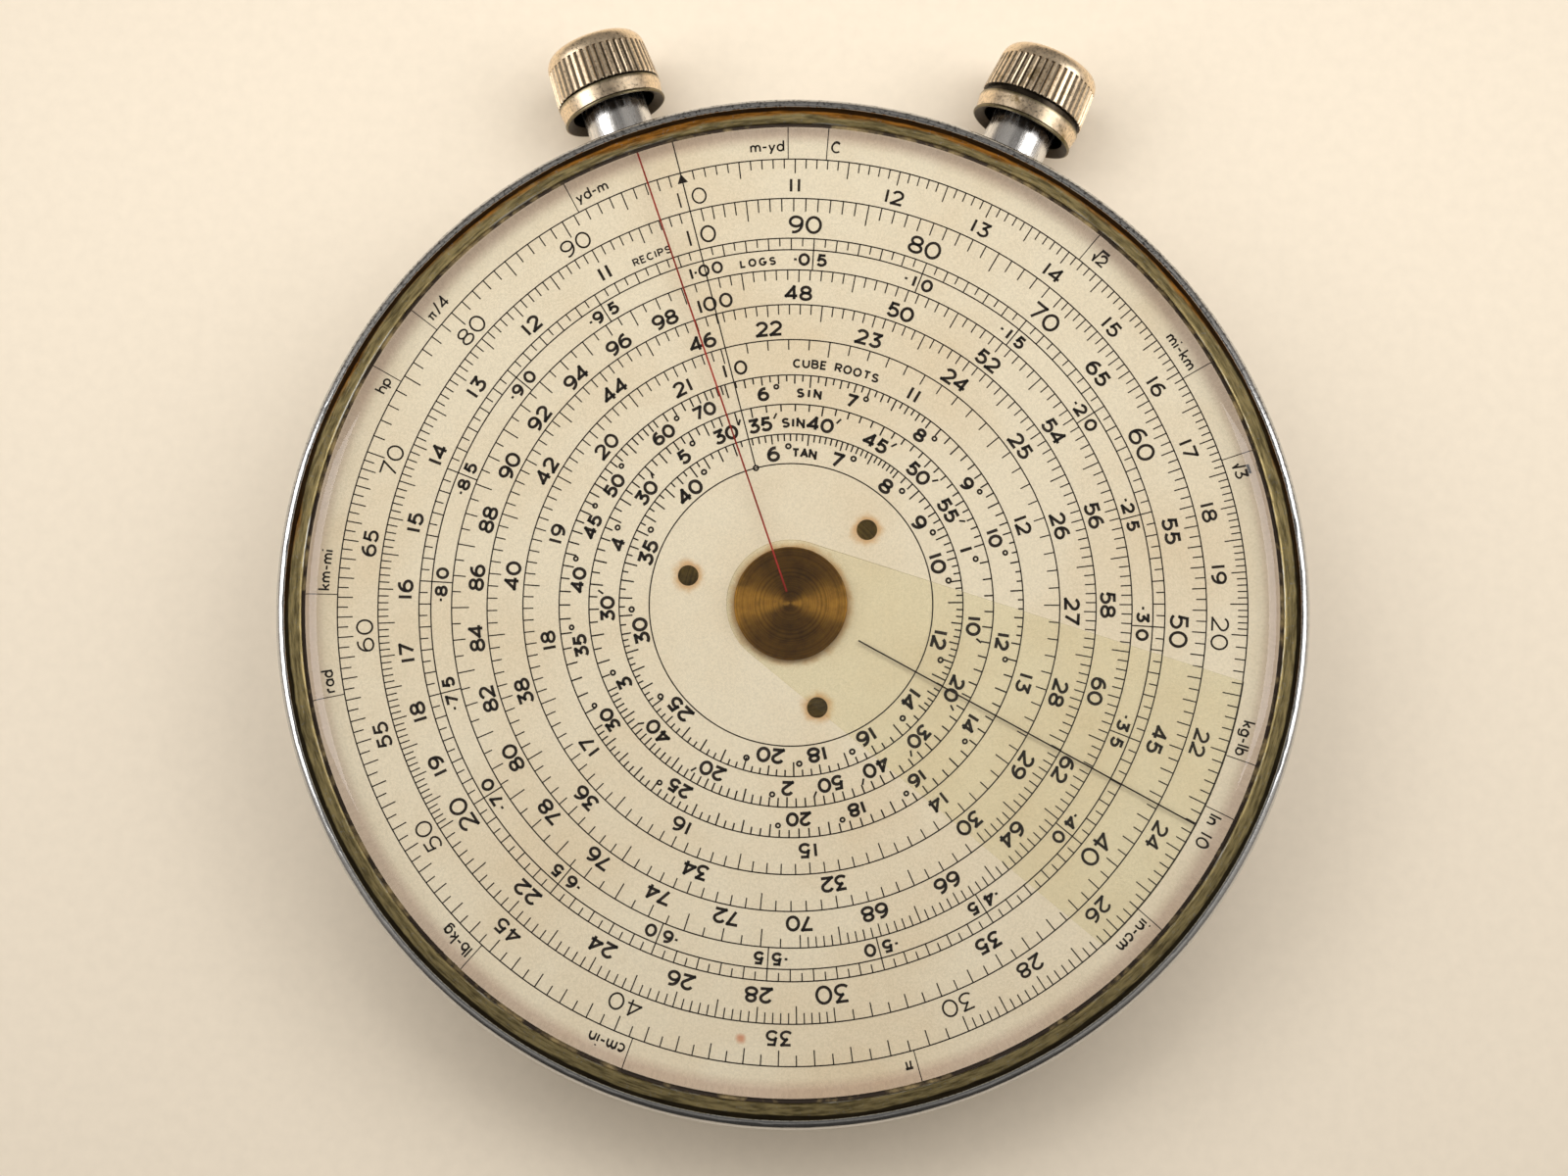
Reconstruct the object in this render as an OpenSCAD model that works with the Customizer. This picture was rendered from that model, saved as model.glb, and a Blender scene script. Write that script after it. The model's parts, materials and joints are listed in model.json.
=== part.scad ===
// Circular slide rule in a pocket-watch style case with two winding knobs.
// Sizes are millimetres and degrees. The origin is the centre of the flat back,
// +Z points out through the crystal and +Y points midway between the two knobs.
// A bearing is an angle clockwise from +Y, as the front is looked at.
// A stem place is a distance outwards from the centre along a knob's own axis.

/* [Case] */
// Outside radius of the case band
case_r = 42.5; // [38:0.1:48]
// Wall thickness of the band
band_wall = 0.9; // [0.7:0.05:1.4]
// Thickness of the back
back_t = 1; // [0.7:0.05:1.6]
// Width of the rounding between the back and the band
edge_r = 2.6; // [1.8:0.1:3.2]
// Height of that rounding
edge_h = 4.2; // [2:0.1:5]

/* [Bezel] */
// How far the bezel stands out past the band
bezel_step = 0.75; // [0.2:0.05:1]
// Length of bezel that slips over the case
bezel_skirt = 2.2; // [1.4:0.1:3]
// Wall left on the case inside the bezel
spigot_wall = 0.45; // [0.3:0.05:0.6]
// Width of the bezel from its outside to the edge of its lip
bezel_w = 2.2; // [1.8:0.01:3]
// Thickness of the lip over the crystal
lip_t = 0.25; // [0.2:0.05:0.6]
// Height of the bezel's ridge above its lip
ridge_rise = 0.25; // [0.1:0.05:0.6]
// Distance of the ridge in from the bezel's outside
ridge_in = 0.82; // [0.3:0.01:0.9]
// Height of the rounding outside the ridge
ridge_round = 0.8; // [0.4:0.05:1.2]

/* [Crystal] */
// Thickness of the crystal
crystal_t = 1.3; // [1:0.05:2]
// Thickness of the crystal's rim under the lip
crystal_rim_t = 0.3; // [0.2:0.05:0.5]
// Width of the crystal's rounded shoulder
shoulder_w = 1.6; // [0.8:0.1:3]
// Gap all round between the crystal and the lip
crystal_gap = 0.36; // [0.05:0.01:0.5]
// Height of the ring that the crystal sits on
seat_ring_t = 0.4; // [0.2:0.05:0.8]
// How far the seat ring reaches in past the band
seat_ring_in = 0.3; // [0.1:0.05:0.33]

/* [Dial] */
// Thickness of the dial plate
dial_t = 0.8; // [0.5:0.05:1.2]
// Gap between the dial and the band
dial_gap = 0.35; // [0.3:0.05:0.8]
// Bearing of the dial's index line at rest
dial_rest_angle = -17.35; // [-180:0.05:180]
// Number of rivets that hold the dial
dial_rivet_count = 3; // [2:1:6]
// Radius of the circle of dial rivets
dial_rivet_circle = 8.97; // [7.5:0.01:12]
// Radius of a dial rivet's head
dial_rivet_head_r = 0.85; // [0.7:0.05:1.2]
// Height of a dial rivet's head
dial_rivet_head_h = 0.45; // [0.3:0.05:0.48]
// Radius of a dial rivet's shank
dial_rivet_r = 0.5; // [0.3:0.05:0.6]

/* [Cursor] */
// Thickness of the cursor leaf
cursor_t = 0.25; // [0.15:0.05:0.5]
// Height of the cursor leaf above the dial
cursor_lift = 0.15; // [0.1:0.05:0.4]
// Radius of the cursor leaf round the centre
cursor_root_r = 5.4; // [5:0.1:7]
// Angle of each cursor edge to the hairline
cursor_flare = 10.8; // [5:0.1:20]
// Distance of the cursor's end in from the dial's edge
cursor_inset = 2.95; // [1:0.05:6]
// Bearing of the cursor's hairline at rest
cursor_rest_angle = 115.75; // [-180:0.05:180]
// Radius of the brass cap on the centre
cap_r = 4.75; // [3.5:0.05:6]
// Thickness of the cap
cap_t = 0.4; // [0.3:0.05:0.8]
// Length of spigot that the cap hides
cap_bore = 0.22; // [0.1:0.02:0.24]
// Gap between the cap and the crystal
cap_gap = 0.2; // [0.15:0.05:0.6]

/* [Gears] */
// Module of all the teeth
gear_module = 0.5; // [0.4:0.02:0.6]
// Teeth on the wheel under the dial
dial_wheel_teeth = 84; // [80:4:100]
// Teeth on the dial stem's pinion
dial_pinion_teeth = 12; // [12:1:14]
// Teeth on the wheel that turns the cursor
cursor_wheel_teeth = 60; // [48:4:64]
// Teeth on the cursor stem's pinion
cursor_pinion_teeth = 10; // [9:1:11]
// Radial width of the wheels' teeth
face_w = 2; // [1.4:0.1:2.6]
// Thickness of the wheels
web_t = 0.8; // [0.6:0.05:1.2]
// Plain margin of a wheel beside its teeth
wheel_margin = 0.2; // [0.1:0.05:0.4]
// Share of the tooth pitch that a tooth fills
tooth_share = 0.42; // [0.36:0.01:0.45]
// Slope of the teeth's flanks
flank_angle = 20; // [16:1:24]

/* [Centre] */
// Radius of the centre arbor
arbor_r = 1.5; // [1.2:0.05:2]
// Step from the arbor in to its pivot and its spigot
arbor_step = 0.4; // [0.2:0.05:0.6]
// Wall of the bush that carries the arbor and the dial
bush_wall = 0.85; // [0.6:0.05:1.2]
// Overhang of the arbor's flange past the bush
flange_over = 0.4; // [0.2:0.05:0.6]
// Gap between the arbor's flange and the dial
flange_gap = 0.3; // [0.2:0.05:0.6]
// Wall of the pipe that the dial turns on
pipe_wall = 0.9; // [0.6:0.05:1.3]
// Thickness of the pipe's flange under the dial
pipe_flange_t = 0.75; // [0.5:0.05:1.2]
// Flange left outside the circle of dial rivets
pipe_flange_edge = 2; // [1.2:0.1:3]
// Thickness of the washer under the pipe
washer_t = 0.25; // [0.15:0.05:0.5]
// Width of that washer past the pipe
washer_over = 0.8; // [0.3:0.1:1.5]
// Height of the bush at the foot of the arbor
foot_t = 1.1; // [0.8:0.05:1.6]
// Radius of the foot bush
foot_r = 3.2; // [2.6:0.1:4.5]
// Wall of the collet that holds the cursor wheel
collet_wall = 1.5; // [0.8:0.1:2]
// Height of the collet
collet_h = 1.6; // [1:0.1:2]

/* [Bridge] */
// Thickness of the bridge
bridge_t = 1.3; // [1:0.05:1.6]
// Radius of the bridge's middle
bridge_hub_r = 6; // [5:0.1:7]
// Width of the bridge's arms
arm_w = 3; // [2.4:0.1:3.6]
// Overhang of an arm's round end past the arm
arm_end_over = 0.4; // [0.2:0.05:0.6]
// Radius of a pillar
pillar_r = 1.5; // [1.2:0.05:1.8]
// Gap between a pillar and the cursor wheel
pillar_gap = 0.6; // [0.4:0.05:1.2]
// Radius of a bridge screw's shank
bridge_screw_r = 0.6; // [0.4:0.05:0.8]
// Radius of a bridge screw's head
bridge_screw_head_r = 1.2; // [1:0.05:1.4]
// Height of a bridge screw's head
bridge_screw_head_h = 0.6; // [0.4:0.05:0.9]
// Depth of a bridge screw in its pillar
bridge_screw_depth = 3; // [2:0.1:4]
// Thickness of the lugs that carry the stems
lug_t = 1.6; // [1:0.1:2]
// Wall of a lug round the stem's pivot
lug_wall = 0.75; // [0.5:0.05:1]
// Gap between a lug and its pinion
lug_gap = 1; // [0.5:0.1:1.5]

/* [Stems] */
// Bearing of each knob from +Y
knob_bearing = 22.5; // [18:0.5:30]
// Outside radius of a stem tube
tube_r = 2.9; // [2.5:0.05:3.2]
// Overhang of the tube's flange inside the case
tube_flange_over = 0.8; // [0.4:0.05:1]
// Depth of the tube's flange in from the band
tube_flange_t = 1.1; // [0.9:0.05:1.6]
// Radius of a stem
stem_r = 1.6; // [1.4:0.05:1.9]
// Radius of the seats for the pinion and the knob
stem_seat_r = 1.2; // [1:0.05:1.3]
// Radius of a stem's inner pivot
stem_pivot_r = 0.8; // [0.6:0.05:0.9]
// Radius of the collar that keeps a stem in
stem_collar_r = 2.4; // [2.1:0.05:2.8]
// Thickness of that collar
stem_collar_t = 0.8; // [0.5:0.05:1.2]
// Room for the friction spring beside the collar
spring_room = 0.6; // [0.5:0.05:1]
// Thickness of the friction spring
spring_t = 0.2; // [0.15:0.05:0.3]

/* [Knobs] */
// Distance from the bezel to the knob's rim
knob_stand = 3.75; // [2.5:0.05:6]
// Gap inside the knob's skirt, round the tube
skirt_gap = 0.85; // [0.4:0.05:1.2]
// Wall of the knob's skirt at its rim
skirt_wall = 0.75; // [0.4:0.05:0.9]
// How much wider the knob is at its groove
knob_swell = 0.2; // [0.05:0.05:0.4]
// Length of the bead round the rim
bead_l = 0.25; // [0.1:0.05:0.4]
// How far the bead stands out from the collar
bead_h = 0.12; // [0.04:0.02:0.2]
// Length of the smooth collar, with the bead
collar_l = 1.7; // [1:0.05:2]
// Width of the groove between the dial knob's collar and its fluted head
dial_groove_w = 0.15; // [0.1:0.05:0.8]
// Width of that groove on the cursor knob, whose head stands further off
cursor_groove_w = 0.6; // [0.1:0.05:0.8]
// Depth of these grooves
groove_d = 0.35; // [0.15:0.05:0.4]
// Length of the fluted band
flute_l = 3.2; // [2.4:0.1:4.5]
// Number of flutes
flute_count = 45; // [30:1:52]
// Radius of the cutter that makes a flute
flute_r = 0.15; // [0.1:0.01:0.2]
// Height of the rounded end
dome_h = 1.35; // [0.5:0.05:1.6]
// Width of the rounding at the end
dome_w = 0.9; // [0.6:0.1:2]
// Thickness of the solid head outside the skirt's hollow
head_t = 3; // [2.6:0.1:3.4]
// Depth of the stem in the head
head_bore = 1.8; // [1.2:0.1:2.2]
// Gap between the tube's end and the head
tube_end_gap = 0.5; // [0.3:0.05:0.8]

/* [Fits] */
// Radial clearance of a turning fit
run_fit = 0.05; // [0.02:0.01:0.08]
// Clearance of a fixed fit
seat_fit = 0.02; // [0.01:0.005:0.04]
// End play of a turning piece
end_play = 0.1; // [0.05:0.01:0.2]
// Room between parts that pass each other
pass_gap = 0.3; // [0.2:0.05:0.6]
// Width of a screwdriver slot
slot_w = 0.3; // [0.2:0.05:0.4]
// Depth of a screwdriver slot
slot_d = 0.22; // [0.1:0.02:0.26]

/* [Hidden] */
$fn = 96;
// Facets of an arc in a turned profile
arc_steps = 10;
// Overlap that joins or cuts cleanly
nick = 0.1;
// Overlap of an arm with the middle of the bridge
arm_root = 1;

// Teeth
tooth_pitch = PI * gear_module;
addendum = 0.8 * gear_module;
dedendum = 1.05 * gear_module;
dial_wheel_r = gear_module * dial_wheel_teeth / 2;
dial_pinion_r = gear_module * dial_pinion_teeth / 2;
cursor_wheel_r = gear_module * cursor_wheel_teeth / 2;
cursor_pinion_r = gear_module * cursor_pinion_teeth / 2;
pinion_half_w = face_w / 2 + wheel_margin;

// Heights, from the back up to the crystal
foot_top = back_t + foot_t;
cursor_wheel_z = foot_top + end_play;
cursor_wheel_root = cursor_wheel_z + web_t;
stem_z = cursor_wheel_root + dedendum + cursor_pinion_r;
dial_wheel_root = stem_z + dial_pinion_r + dedendum;
dial_wheel_tip = dial_wheel_root - dedendum - addendum;
pipe_flange_z = dial_wheel_root + web_t;
dial_z = pipe_flange_z + pipe_flange_t;
dial_top = dial_z + dial_t;
cursor_z = dial_top + cursor_lift;
cap_z = cursor_z + cursor_t;
cap_top = cap_z + cap_t;
crystal_z = cap_top + cap_gap;
crystal_rim_top = crystal_z + crystal_rim_t;
lip_z = crystal_rim_top + seat_fit;
lip_top = lip_z + lip_t;
ridge_z = lip_top + ridge_rise;
spigot_top = crystal_z - seat_ring_t;
case_shoulder = spigot_top - bezel_skirt;
bridge_top = dial_wheel_tip - pass_gap - bridge_screw_head_h;
bridge_z = bridge_top - bridge_t;

// Radii, from the centre out to the bezel
pivot_r = arbor_r - arbor_step;
bush_r = arbor_r + run_fit + bush_wall;
pipe_in_r = bush_r + run_fit;
pipe_r = pipe_in_r + pipe_wall;
pipe_flange_r = dial_rivet_circle + pipe_flange_edge;
arbor_flange_r = bush_r + flange_over;
dial_hole_r = arbor_flange_r + flange_gap;
case_in_r = case_r - band_wall;
edge_in_r = edge_r - band_wall;
edge_in_h = edge_h - back_t;
spigot_r = case_in_r + spigot_wall;
bezel_in_r = spigot_r + seat_fit;
bezel_r = case_r + bezel_step;
ridge_r = bezel_r - ridge_in;
lip_r = bezel_r - bezel_w;
crystal_r = bezel_in_r - run_fit;
crystal_top_r = lip_r - crystal_gap;
dial_r = case_in_r - dial_gap;
cursor_reach = dial_r - cursor_inset;
pillar_place = cursor_wheel_r + pinion_half_w + pillar_gap + pillar_r;

// Places along a stem
dial_lug_place = dial_wheel_r - pinion_half_w - lug_gap - lug_t;
cursor_lug_place = cursor_wheel_r - pinion_half_w - lug_gap - lug_t;
lug_r = stem_pivot_r + run_fit + lug_wall;
tube_flange_in = case_in_r - tube_flange_t;
stem_collar_place = tube_flange_in - spring_room - stem_collar_t;
knob_rim = bezel_r + knob_stand;
groove_place = knob_rim + collar_l;
hollow_r = tube_r + skirt_gap;
knob_rim_r = hollow_r + skirt_wall;
bead_r = knob_rim_r + bead_h;
knob_r = knob_rim_r + knob_swell;

pillar_bearings = [180, 60, -60];
dial_rivet_bearings = [for (i = [0:dial_rivet_count - 1]) dial_rest_angle + (i + 0.5) * 360 / dial_rivet_count];

// Places along a stem that move out with the width of the groove in its knob
function flute_place(groove_w) = groove_place + groove_w;
function flute_end(groove_w) = flute_place(groove_w) + flute_l;
function knob_end(groove_w) = flute_end(groove_w) + dome_h;
function head_place(groove_w) = knob_end(groove_w) - head_t;
function tube_end(groove_w) = head_place(groove_w) - tube_end_gap;

// Points of an elliptical arc
function arc_points(x, y, rx, ry, from, to) =
    [for (i = [0:arc_steps]) let (a = from + (to - from) * i / arc_steps) [x + rx * cos(a), y + ry * sin(a)]];

// Half angle of a pinion tooth at radius r, on an involute of the pitch radius
function involute(angle) = tan(angle) * 180 / PI - angle;
function tooth_half(teeth, pitch_r, r) =
    let (base_r = pitch_r * cos(flank_angle))
    tooth_share * 180 / teeth + involute(flank_angle) - involute(acos(base_r / max(r, base_r)));

// Outline of a pinion, with one tooth centred on the given angle
function pinion_points(teeth, first_angle) =
    let (
        pitch_r = gear_module * teeth / 2,
        flank = [pitch_r - dedendum, pitch_r * cos(flank_angle), pitch_r, pitch_r + addendum],
        side = [for (r = flank) [r, tooth_half(teeth, pitch_r, r)]],
        tooth = concat([for (p = side) [p[0], -p[1]]], [for (i = [3:-1:0]) side[i]])
    )
    [for (t = [0:teeth - 1], p = tooth) let (a = first_angle + t * 360 / teeth + p[1]) p[0] * [cos(a), sin(a)]];

// Turns a child that points along +Y to a bearing
module at_bearing(bearing) {
    rotate([0, 0, -bearing]) children();
}

// Lays a child that stands on +Z along a stem, with its +Z outwards
module on_stem(bearing) {
    at_bearing(bearing) translate([0, 0, stem_z]) rotate([-90, 0, 0]) children();
}

// A plain cylinder between two heights
module rod(r, from, to) {
    translate([0, 0, from]) cylinder(r = r, h = to - from);
}

// A ring between two heights
module ring(r, bore_r, from, to) {
    difference() {
        rod(r, from, to);
        rod(bore_r, from - nick, to + nick);
    }
}

// Hollow of the case, drawn in by a clearance
module case_hollow(clear) {
    rotate_extrude() polygon(concat(
        [[0, back_t + clear]],
        arc_points(case_in_r - edge_in_r, edge_h, edge_in_r - clear, edge_in_h - clear, -90, 0),
        [[case_in_r - clear, spigot_top + nick], [0, spigot_top + nick]]
    ));
}

// A screw that stands on +Z with its head's top at the given height
module screw(head_r, head_h, shank_r, top, tip) {
    difference() {
        union() {
            rod(head_r, top - head_h, top);
            rod(shank_r, tip, top - head_h + nick);
        }
        translate([-head_r - nick, -slot_w / 2, top - slot_d])
            cube([2 * (head_r + nick), slot_w, slot_d + nick]);
    }
}

// A face wheel: a plate with radial teeth that stand up from the plate
module face_wheel(teeth, pitch_r, bore_r, first_bearing) {
    pitch_w = tooth_share * tooth_pitch;
    tip_w = pitch_w - 2 * addendum * tan(flank_angle);
    root_w = pitch_w + 2 * dedendum * tan(flank_angle);
    ring(pitch_r + pinion_half_w, bore_r, 0, web_t);
    for (t = [0:teeth - 1])
        at_bearing(first_bearing + t * 360 / teeth)
            translate([0, pitch_r + face_w / 2, web_t])
                rotate([90, 0, 0])
                    linear_extrude(face_w)
                        polygon([
                            [-root_w / 2, -nick], [root_w / 2, -nick], [root_w / 2, 0],
                            [tip_w / 2, dedendum + addendum], [-tip_w / 2, dedendum + addendum], [-root_w / 2, 0]
                        ]);
}

// Pressed case: back and band in one cup, with a hole for each stem tube
module case_body() {
    color("silver") difference() {
        rotate_extrude() polygon(concat(
            [[0, 0]],
            arc_points(case_r - edge_r, edge_h, edge_r, edge_h, -90, 0),
            [[case_r, case_shoulder], [spigot_r, case_shoulder], [spigot_r, spigot_top], [0, spigot_top]]
        ));
        case_hollow(0);
        for (side = [-1, 1])
            on_stem(side * knob_bearing) rod(tube_r + seat_fit, tube_flange_in, case_r + nick);
    }
}

// Bezel: a skirt round the case, a rounded outside up to a ridge, and a lip that slopes in
module bezel() {
    color("silver") rotate_extrude() polygon(concat(
        [[bezel_in_r, case_shoulder], [bezel_r, case_shoulder]],
        arc_points(ridge_r, ridge_z - ridge_round, ridge_in, ridge_round, 0, 90),
        [[lip_r, lip_top], [lip_r, lip_z], [bezel_in_r, lip_z]]
    ));
}

// Crystal: a flat window with a rim under the lip and a rounded shoulder
module crystal() {
    shoulder_h = crystal_t - crystal_rim_t - lip_t;
    color("lightcyan", 0.3) rotate_extrude() polygon(concat(
        [[0, crystal_z], [crystal_r, crystal_z], [crystal_r, crystal_rim_top], [crystal_top_r, crystal_rim_top]],
        arc_points(crystal_top_r - shoulder_w, crystal_z + crystal_t - shoulder_h, shoulder_w, shoulder_h, 0, 90),
        [[0, crystal_z + crystal_t]]
    ));
}

// Ring on top of the band that the crystal sits on
module crystal_seat_ring() {
    color("dimgray") ring(crystal_r, case_in_r - seat_ring_in, spigot_top, crystal_z);
}

// Bush on the back that carries the foot of the arbor
module foot_bush() {
    color("goldenrod") ring(foot_r, pivot_r + run_fit, back_t, foot_top);
}

// Arm of the bridge, from inside the rim of its middle to a place
module bridge_arm(bearing, reach) {
    root = bridge_hub_r - arm_root;
    at_bearing(bearing) translate([-arm_w / 2, root, bridge_z]) cube([arm_w, reach - root, bridge_t]);
}

// Lug below the bridge with a pivot hole for a stem
module stem_lug(bearing, place) {
    bridge_arm(bearing, place + lug_t / 2);
    at_bearing(bearing) translate([-lug_r, place, stem_z - lug_r])
        cube([2 * lug_r, lug_t, bridge_top - stem_z + lug_r]);
}

// Bridge: three arms on pillars, a bush at the centre and a lug for each stem
module bridge() {
    color("darkgoldenrod") difference() {
        union() {
            rod(bridge_hub_r, bridge_z, bridge_top);
            rod(bush_r, bridge_top - nick, dial_z);
            for (bearing = pillar_bearings) {
                bridge_arm(bearing, pillar_place);
                at_bearing(bearing) translate([0, pillar_place, 0]) rod(arm_w / 2 + arm_end_over, bridge_z, bridge_top);
            }
            stem_lug(-knob_bearing, dial_lug_place);
            stem_lug(knob_bearing, cursor_lug_place);
        }
        rod(arbor_r + run_fit, bridge_z - nick, dial_z + nick);
        for (bearing = pillar_bearings)
            at_bearing(bearing) translate([0, pillar_place, 0])
                rod(bridge_screw_r + seat_fit, bridge_z - nick, bridge_top + nick);
        on_stem(-knob_bearing)
            rod(stem_pivot_r + run_fit, dial_lug_place - nick, dial_lug_place + lug_t + nick);
        on_stem(knob_bearing)
            rod(stem_pivot_r + run_fit, cursor_lug_place - nick, cursor_lug_place + lug_t + nick);
    }
}

// Three pillars on the back, each tapped for a bridge screw
module bridge_pillars() {
    color("goldenrod") for (bearing = pillar_bearings)
        at_bearing(bearing) translate([0, pillar_place, 0]) difference() {
            rod(pillar_r, back_t, bridge_z);
            rod(bridge_screw_r + seat_fit, bridge_z - bridge_screw_depth - nick, bridge_z + nick);
        }
}

// Three screws down through the bridge into the pillars
module bridge_screws() {
    color("slategray") for (bearing = pillar_bearings)
        at_bearing(bearing) translate([0, pillar_place, 0])
            screw(bridge_screw_head_r, bridge_screw_head_h, bridge_screw_r,
                bridge_top + bridge_screw_head_h, bridge_z - bridge_screw_depth);
}

// Tube through the band, with a flange against the band's inside
module stem_tube(bearing, groove_w) {
    difference() {
        union() {
            on_stem(bearing) rod(tube_r, tube_flange_in, tube_end(groove_w));
            intersection() {
                on_stem(bearing) rod(tube_r + tube_flange_over, tube_flange_in, case_r);
                case_hollow(seat_fit);
            }
        }
        on_stem(bearing) rod(stem_r + run_fit, tube_flange_in - nick, tube_end(groove_w) + nick);
    }
}

module dial_stem_tube() {
    color("gainsboro") stem_tube(-knob_bearing, dial_groove_w);
}

module cursor_stem_tube() {
    color("gainsboro") stem_tube(knob_bearing, cursor_groove_w);
}

// Dial plate, with counterbored holes for its rivets
module dial() {
    color("ivory") difference() {
        ring(dial_r, dial_hole_r, dial_z, dial_top);
        for (bearing = dial_rivet_bearings)
            at_bearing(bearing) translate([0, dial_rivet_circle, 0]) {
                rod(dial_rivet_r + seat_fit, dial_z - nick, dial_top + nick);
                rod(dial_rivet_head_r + seat_fit, dial_top - dial_rivet_head_h, dial_top + nick);
            }
    }
}

// Flush rivets through the dial, the pipe's flange and the wheel
module dial_rivets() {
    color("sienna") for (bearing = dial_rivet_bearings)
        at_bearing(bearing) translate([0, dial_rivet_circle, 0]) {
            rod(dial_rivet_head_r, dial_top - dial_rivet_head_h, dial_top);
            rod(dial_rivet_r, dial_wheel_root, dial_top - dial_rivet_head_h + nick);
        }
}

// Pipe that turns on the bridge's bush, with a flange under the dial
module dial_pipe() {
    color("goldenrod") difference() {
        union() {
            rod(pipe_r, bridge_top + washer_t + end_play, dial_z);
            rod(pipe_flange_r, pipe_flange_z, dial_z);
        }
        rod(pipe_in_r, bridge_top, dial_z + nick);
        for (bearing = dial_rivet_bearings)
            at_bearing(bearing) translate([0, dial_rivet_circle, 0])
                rod(dial_rivet_r + seat_fit, pipe_flange_z - nick, dial_z + nick);
    }
}

// Face wheel under the dial, its teeth pointing down, a tooth space over the dial stem
module dial_wheel() {
    color("goldenrod") difference() {
        translate([0, 0, pipe_flange_z]) mirror([0, 0, 1])
            face_wheel(dial_wheel_teeth, dial_wheel_r, pipe_r + seat_fit,
                -knob_bearing + 180 / dial_wheel_teeth);
        for (bearing = dial_rivet_bearings)
            at_bearing(bearing) translate([0, dial_rivet_circle, 0])
                rod(dial_rivet_r + seat_fit, dial_wheel_root - nick, pipe_flange_z + nick);
    }
}

// Washer between the bridge and the pipe
module dial_washer() {
    color("khaki") ring(pipe_r + washer_over, pipe_in_r, bridge_top, bridge_top + washer_t);
}

// Centre arbor: foot pivot, shaft, flange under the cursor and spigot for the cap
module centre_arbor() {
    color("lightsteelblue") {
        rod(pivot_r, back_t + end_play, foot_top + end_play + nick);
        rod(arbor_r, foot_top + end_play, cursor_z - nick);
        rod(arbor_flange_r, dial_z + end_play, cursor_z);
        rod(pivot_r, cursor_z - nick, cap_z + cap_bore);
    }
}

// Face wheel on the arbor, its teeth pointing up, a tooth space under the cursor stem
module cursor_wheel() {
    color("goldenrod") translate([0, 0, cursor_wheel_z])
        face_wheel(cursor_wheel_teeth, cursor_wheel_r, arbor_r + seat_fit,
            knob_bearing + 180 / cursor_wheel_teeth);
}

// Collet that fixes the cursor wheel to the arbor
module wheel_collet() {
    color("goldenrod")
        ring(arbor_r + collet_wall, arbor_r + seat_fit, cursor_wheel_root, cursor_wheel_root + collet_h);
}

// Cursor leaf: a clear fan round the centre with edges that open outwards
module cursor() {
    root_half_w = cursor_root_r / cos(cursor_flare);
    end_half_w = root_half_w + dial_r * tan(cursor_flare);
    color("palegoldenrod", 0.4) difference() {
        intersection() {
            union() {
                rod(cursor_root_r, cursor_z, cap_z);
                translate([0, 0, cursor_z]) linear_extrude(cursor_t)
                    at_bearing(cursor_rest_angle)
                        polygon([[-root_half_w, 0], [root_half_w, 0], [end_half_w, dial_r], [-end_half_w, dial_r]]);
            }
            rod(cursor_reach, cursor_z - nick, cap_z + nick);
        }
        rod(pivot_r + seat_fit, cursor_z - nick, cap_z + nick);
    }
}

// Brass cap that clamps the cursor on the arbor
module hub_cap() {
    color("saddlebrown") difference() {
        rod(cap_r, cap_z, cap_top);
        rod(pivot_r + seat_fit, cap_z - nick, cap_z + cap_bore + seat_fit);
    }
}

// Stem: inner pivot, pinion seat, shaft, collar and a seat for the knob
module stem(bearing, lug_place, wheel_r, groove_w) {
    head_in = head_place(groove_w);
    pinion_in = wheel_r - pinion_half_w;
    pinion_out = wheel_r + pinion_half_w;
    color("lightsteelblue") on_stem(bearing) {
        rod(stem_pivot_r, lug_place, pinion_in - lug_gap / 2 + nick);
        rod(stem_seat_r, pinion_in - lug_gap / 2, pinion_out + nick);
        rod(stem_r, pinion_out, head_in - end_play);
        rod(stem_collar_r, stem_collar_place, stem_collar_place + stem_collar_t);
        rod(stem_seat_r, head_in - end_play - nick, head_in + head_bore);
    }
}

module dial_stem() {
    stem(-knob_bearing, dial_lug_place, dial_wheel_r, dial_groove_w);
}

module cursor_stem() {
    stem(knob_bearing, cursor_lug_place, cursor_wheel_r, cursor_groove_w);
}

// Pinion on a stem, with one tooth centred on the given angle about the stem
module pinion(bearing, teeth, wheel_r, first_angle) {
    color("goldenrod") on_stem(bearing) difference() {
        translate([0, 0, wheel_r - pinion_half_w])
            linear_extrude(2 * pinion_half_w) polygon(pinion_points(teeth, first_angle));
        rod(stem_seat_r + seat_fit, wheel_r - pinion_half_w - nick, wheel_r + pinion_half_w + nick);
    }
}

module dial_pinion() {
    pinion(-knob_bearing, dial_pinion_teeth, dial_wheel_r, -90);
}

module cursor_pinion() {
    pinion(knob_bearing, cursor_pinion_teeth, cursor_wheel_r, 90);
}

// Dished friction spring between a stem's collar and its tube
module stem_spring(bearing) {
    spring_in = stem_collar_place + stem_collar_t + run_fit;
    spring_out = tube_flange_in - run_fit;
    spring_bore = stem_r + run_fit;
    spring_r = stem_collar_r + nick;
    color("steelblue") on_stem(bearing) rotate_extrude() polygon([
        [spring_bore, spring_in], [spring_bore, spring_in + spring_t],
        [spring_r, spring_out], [spring_r, spring_out - spring_t]
    ]);
}

module dial_stem_spring() {
    stem_spring(-knob_bearing);
}

module cursor_stem_spring() {
    stem_spring(knob_bearing);
}

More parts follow.
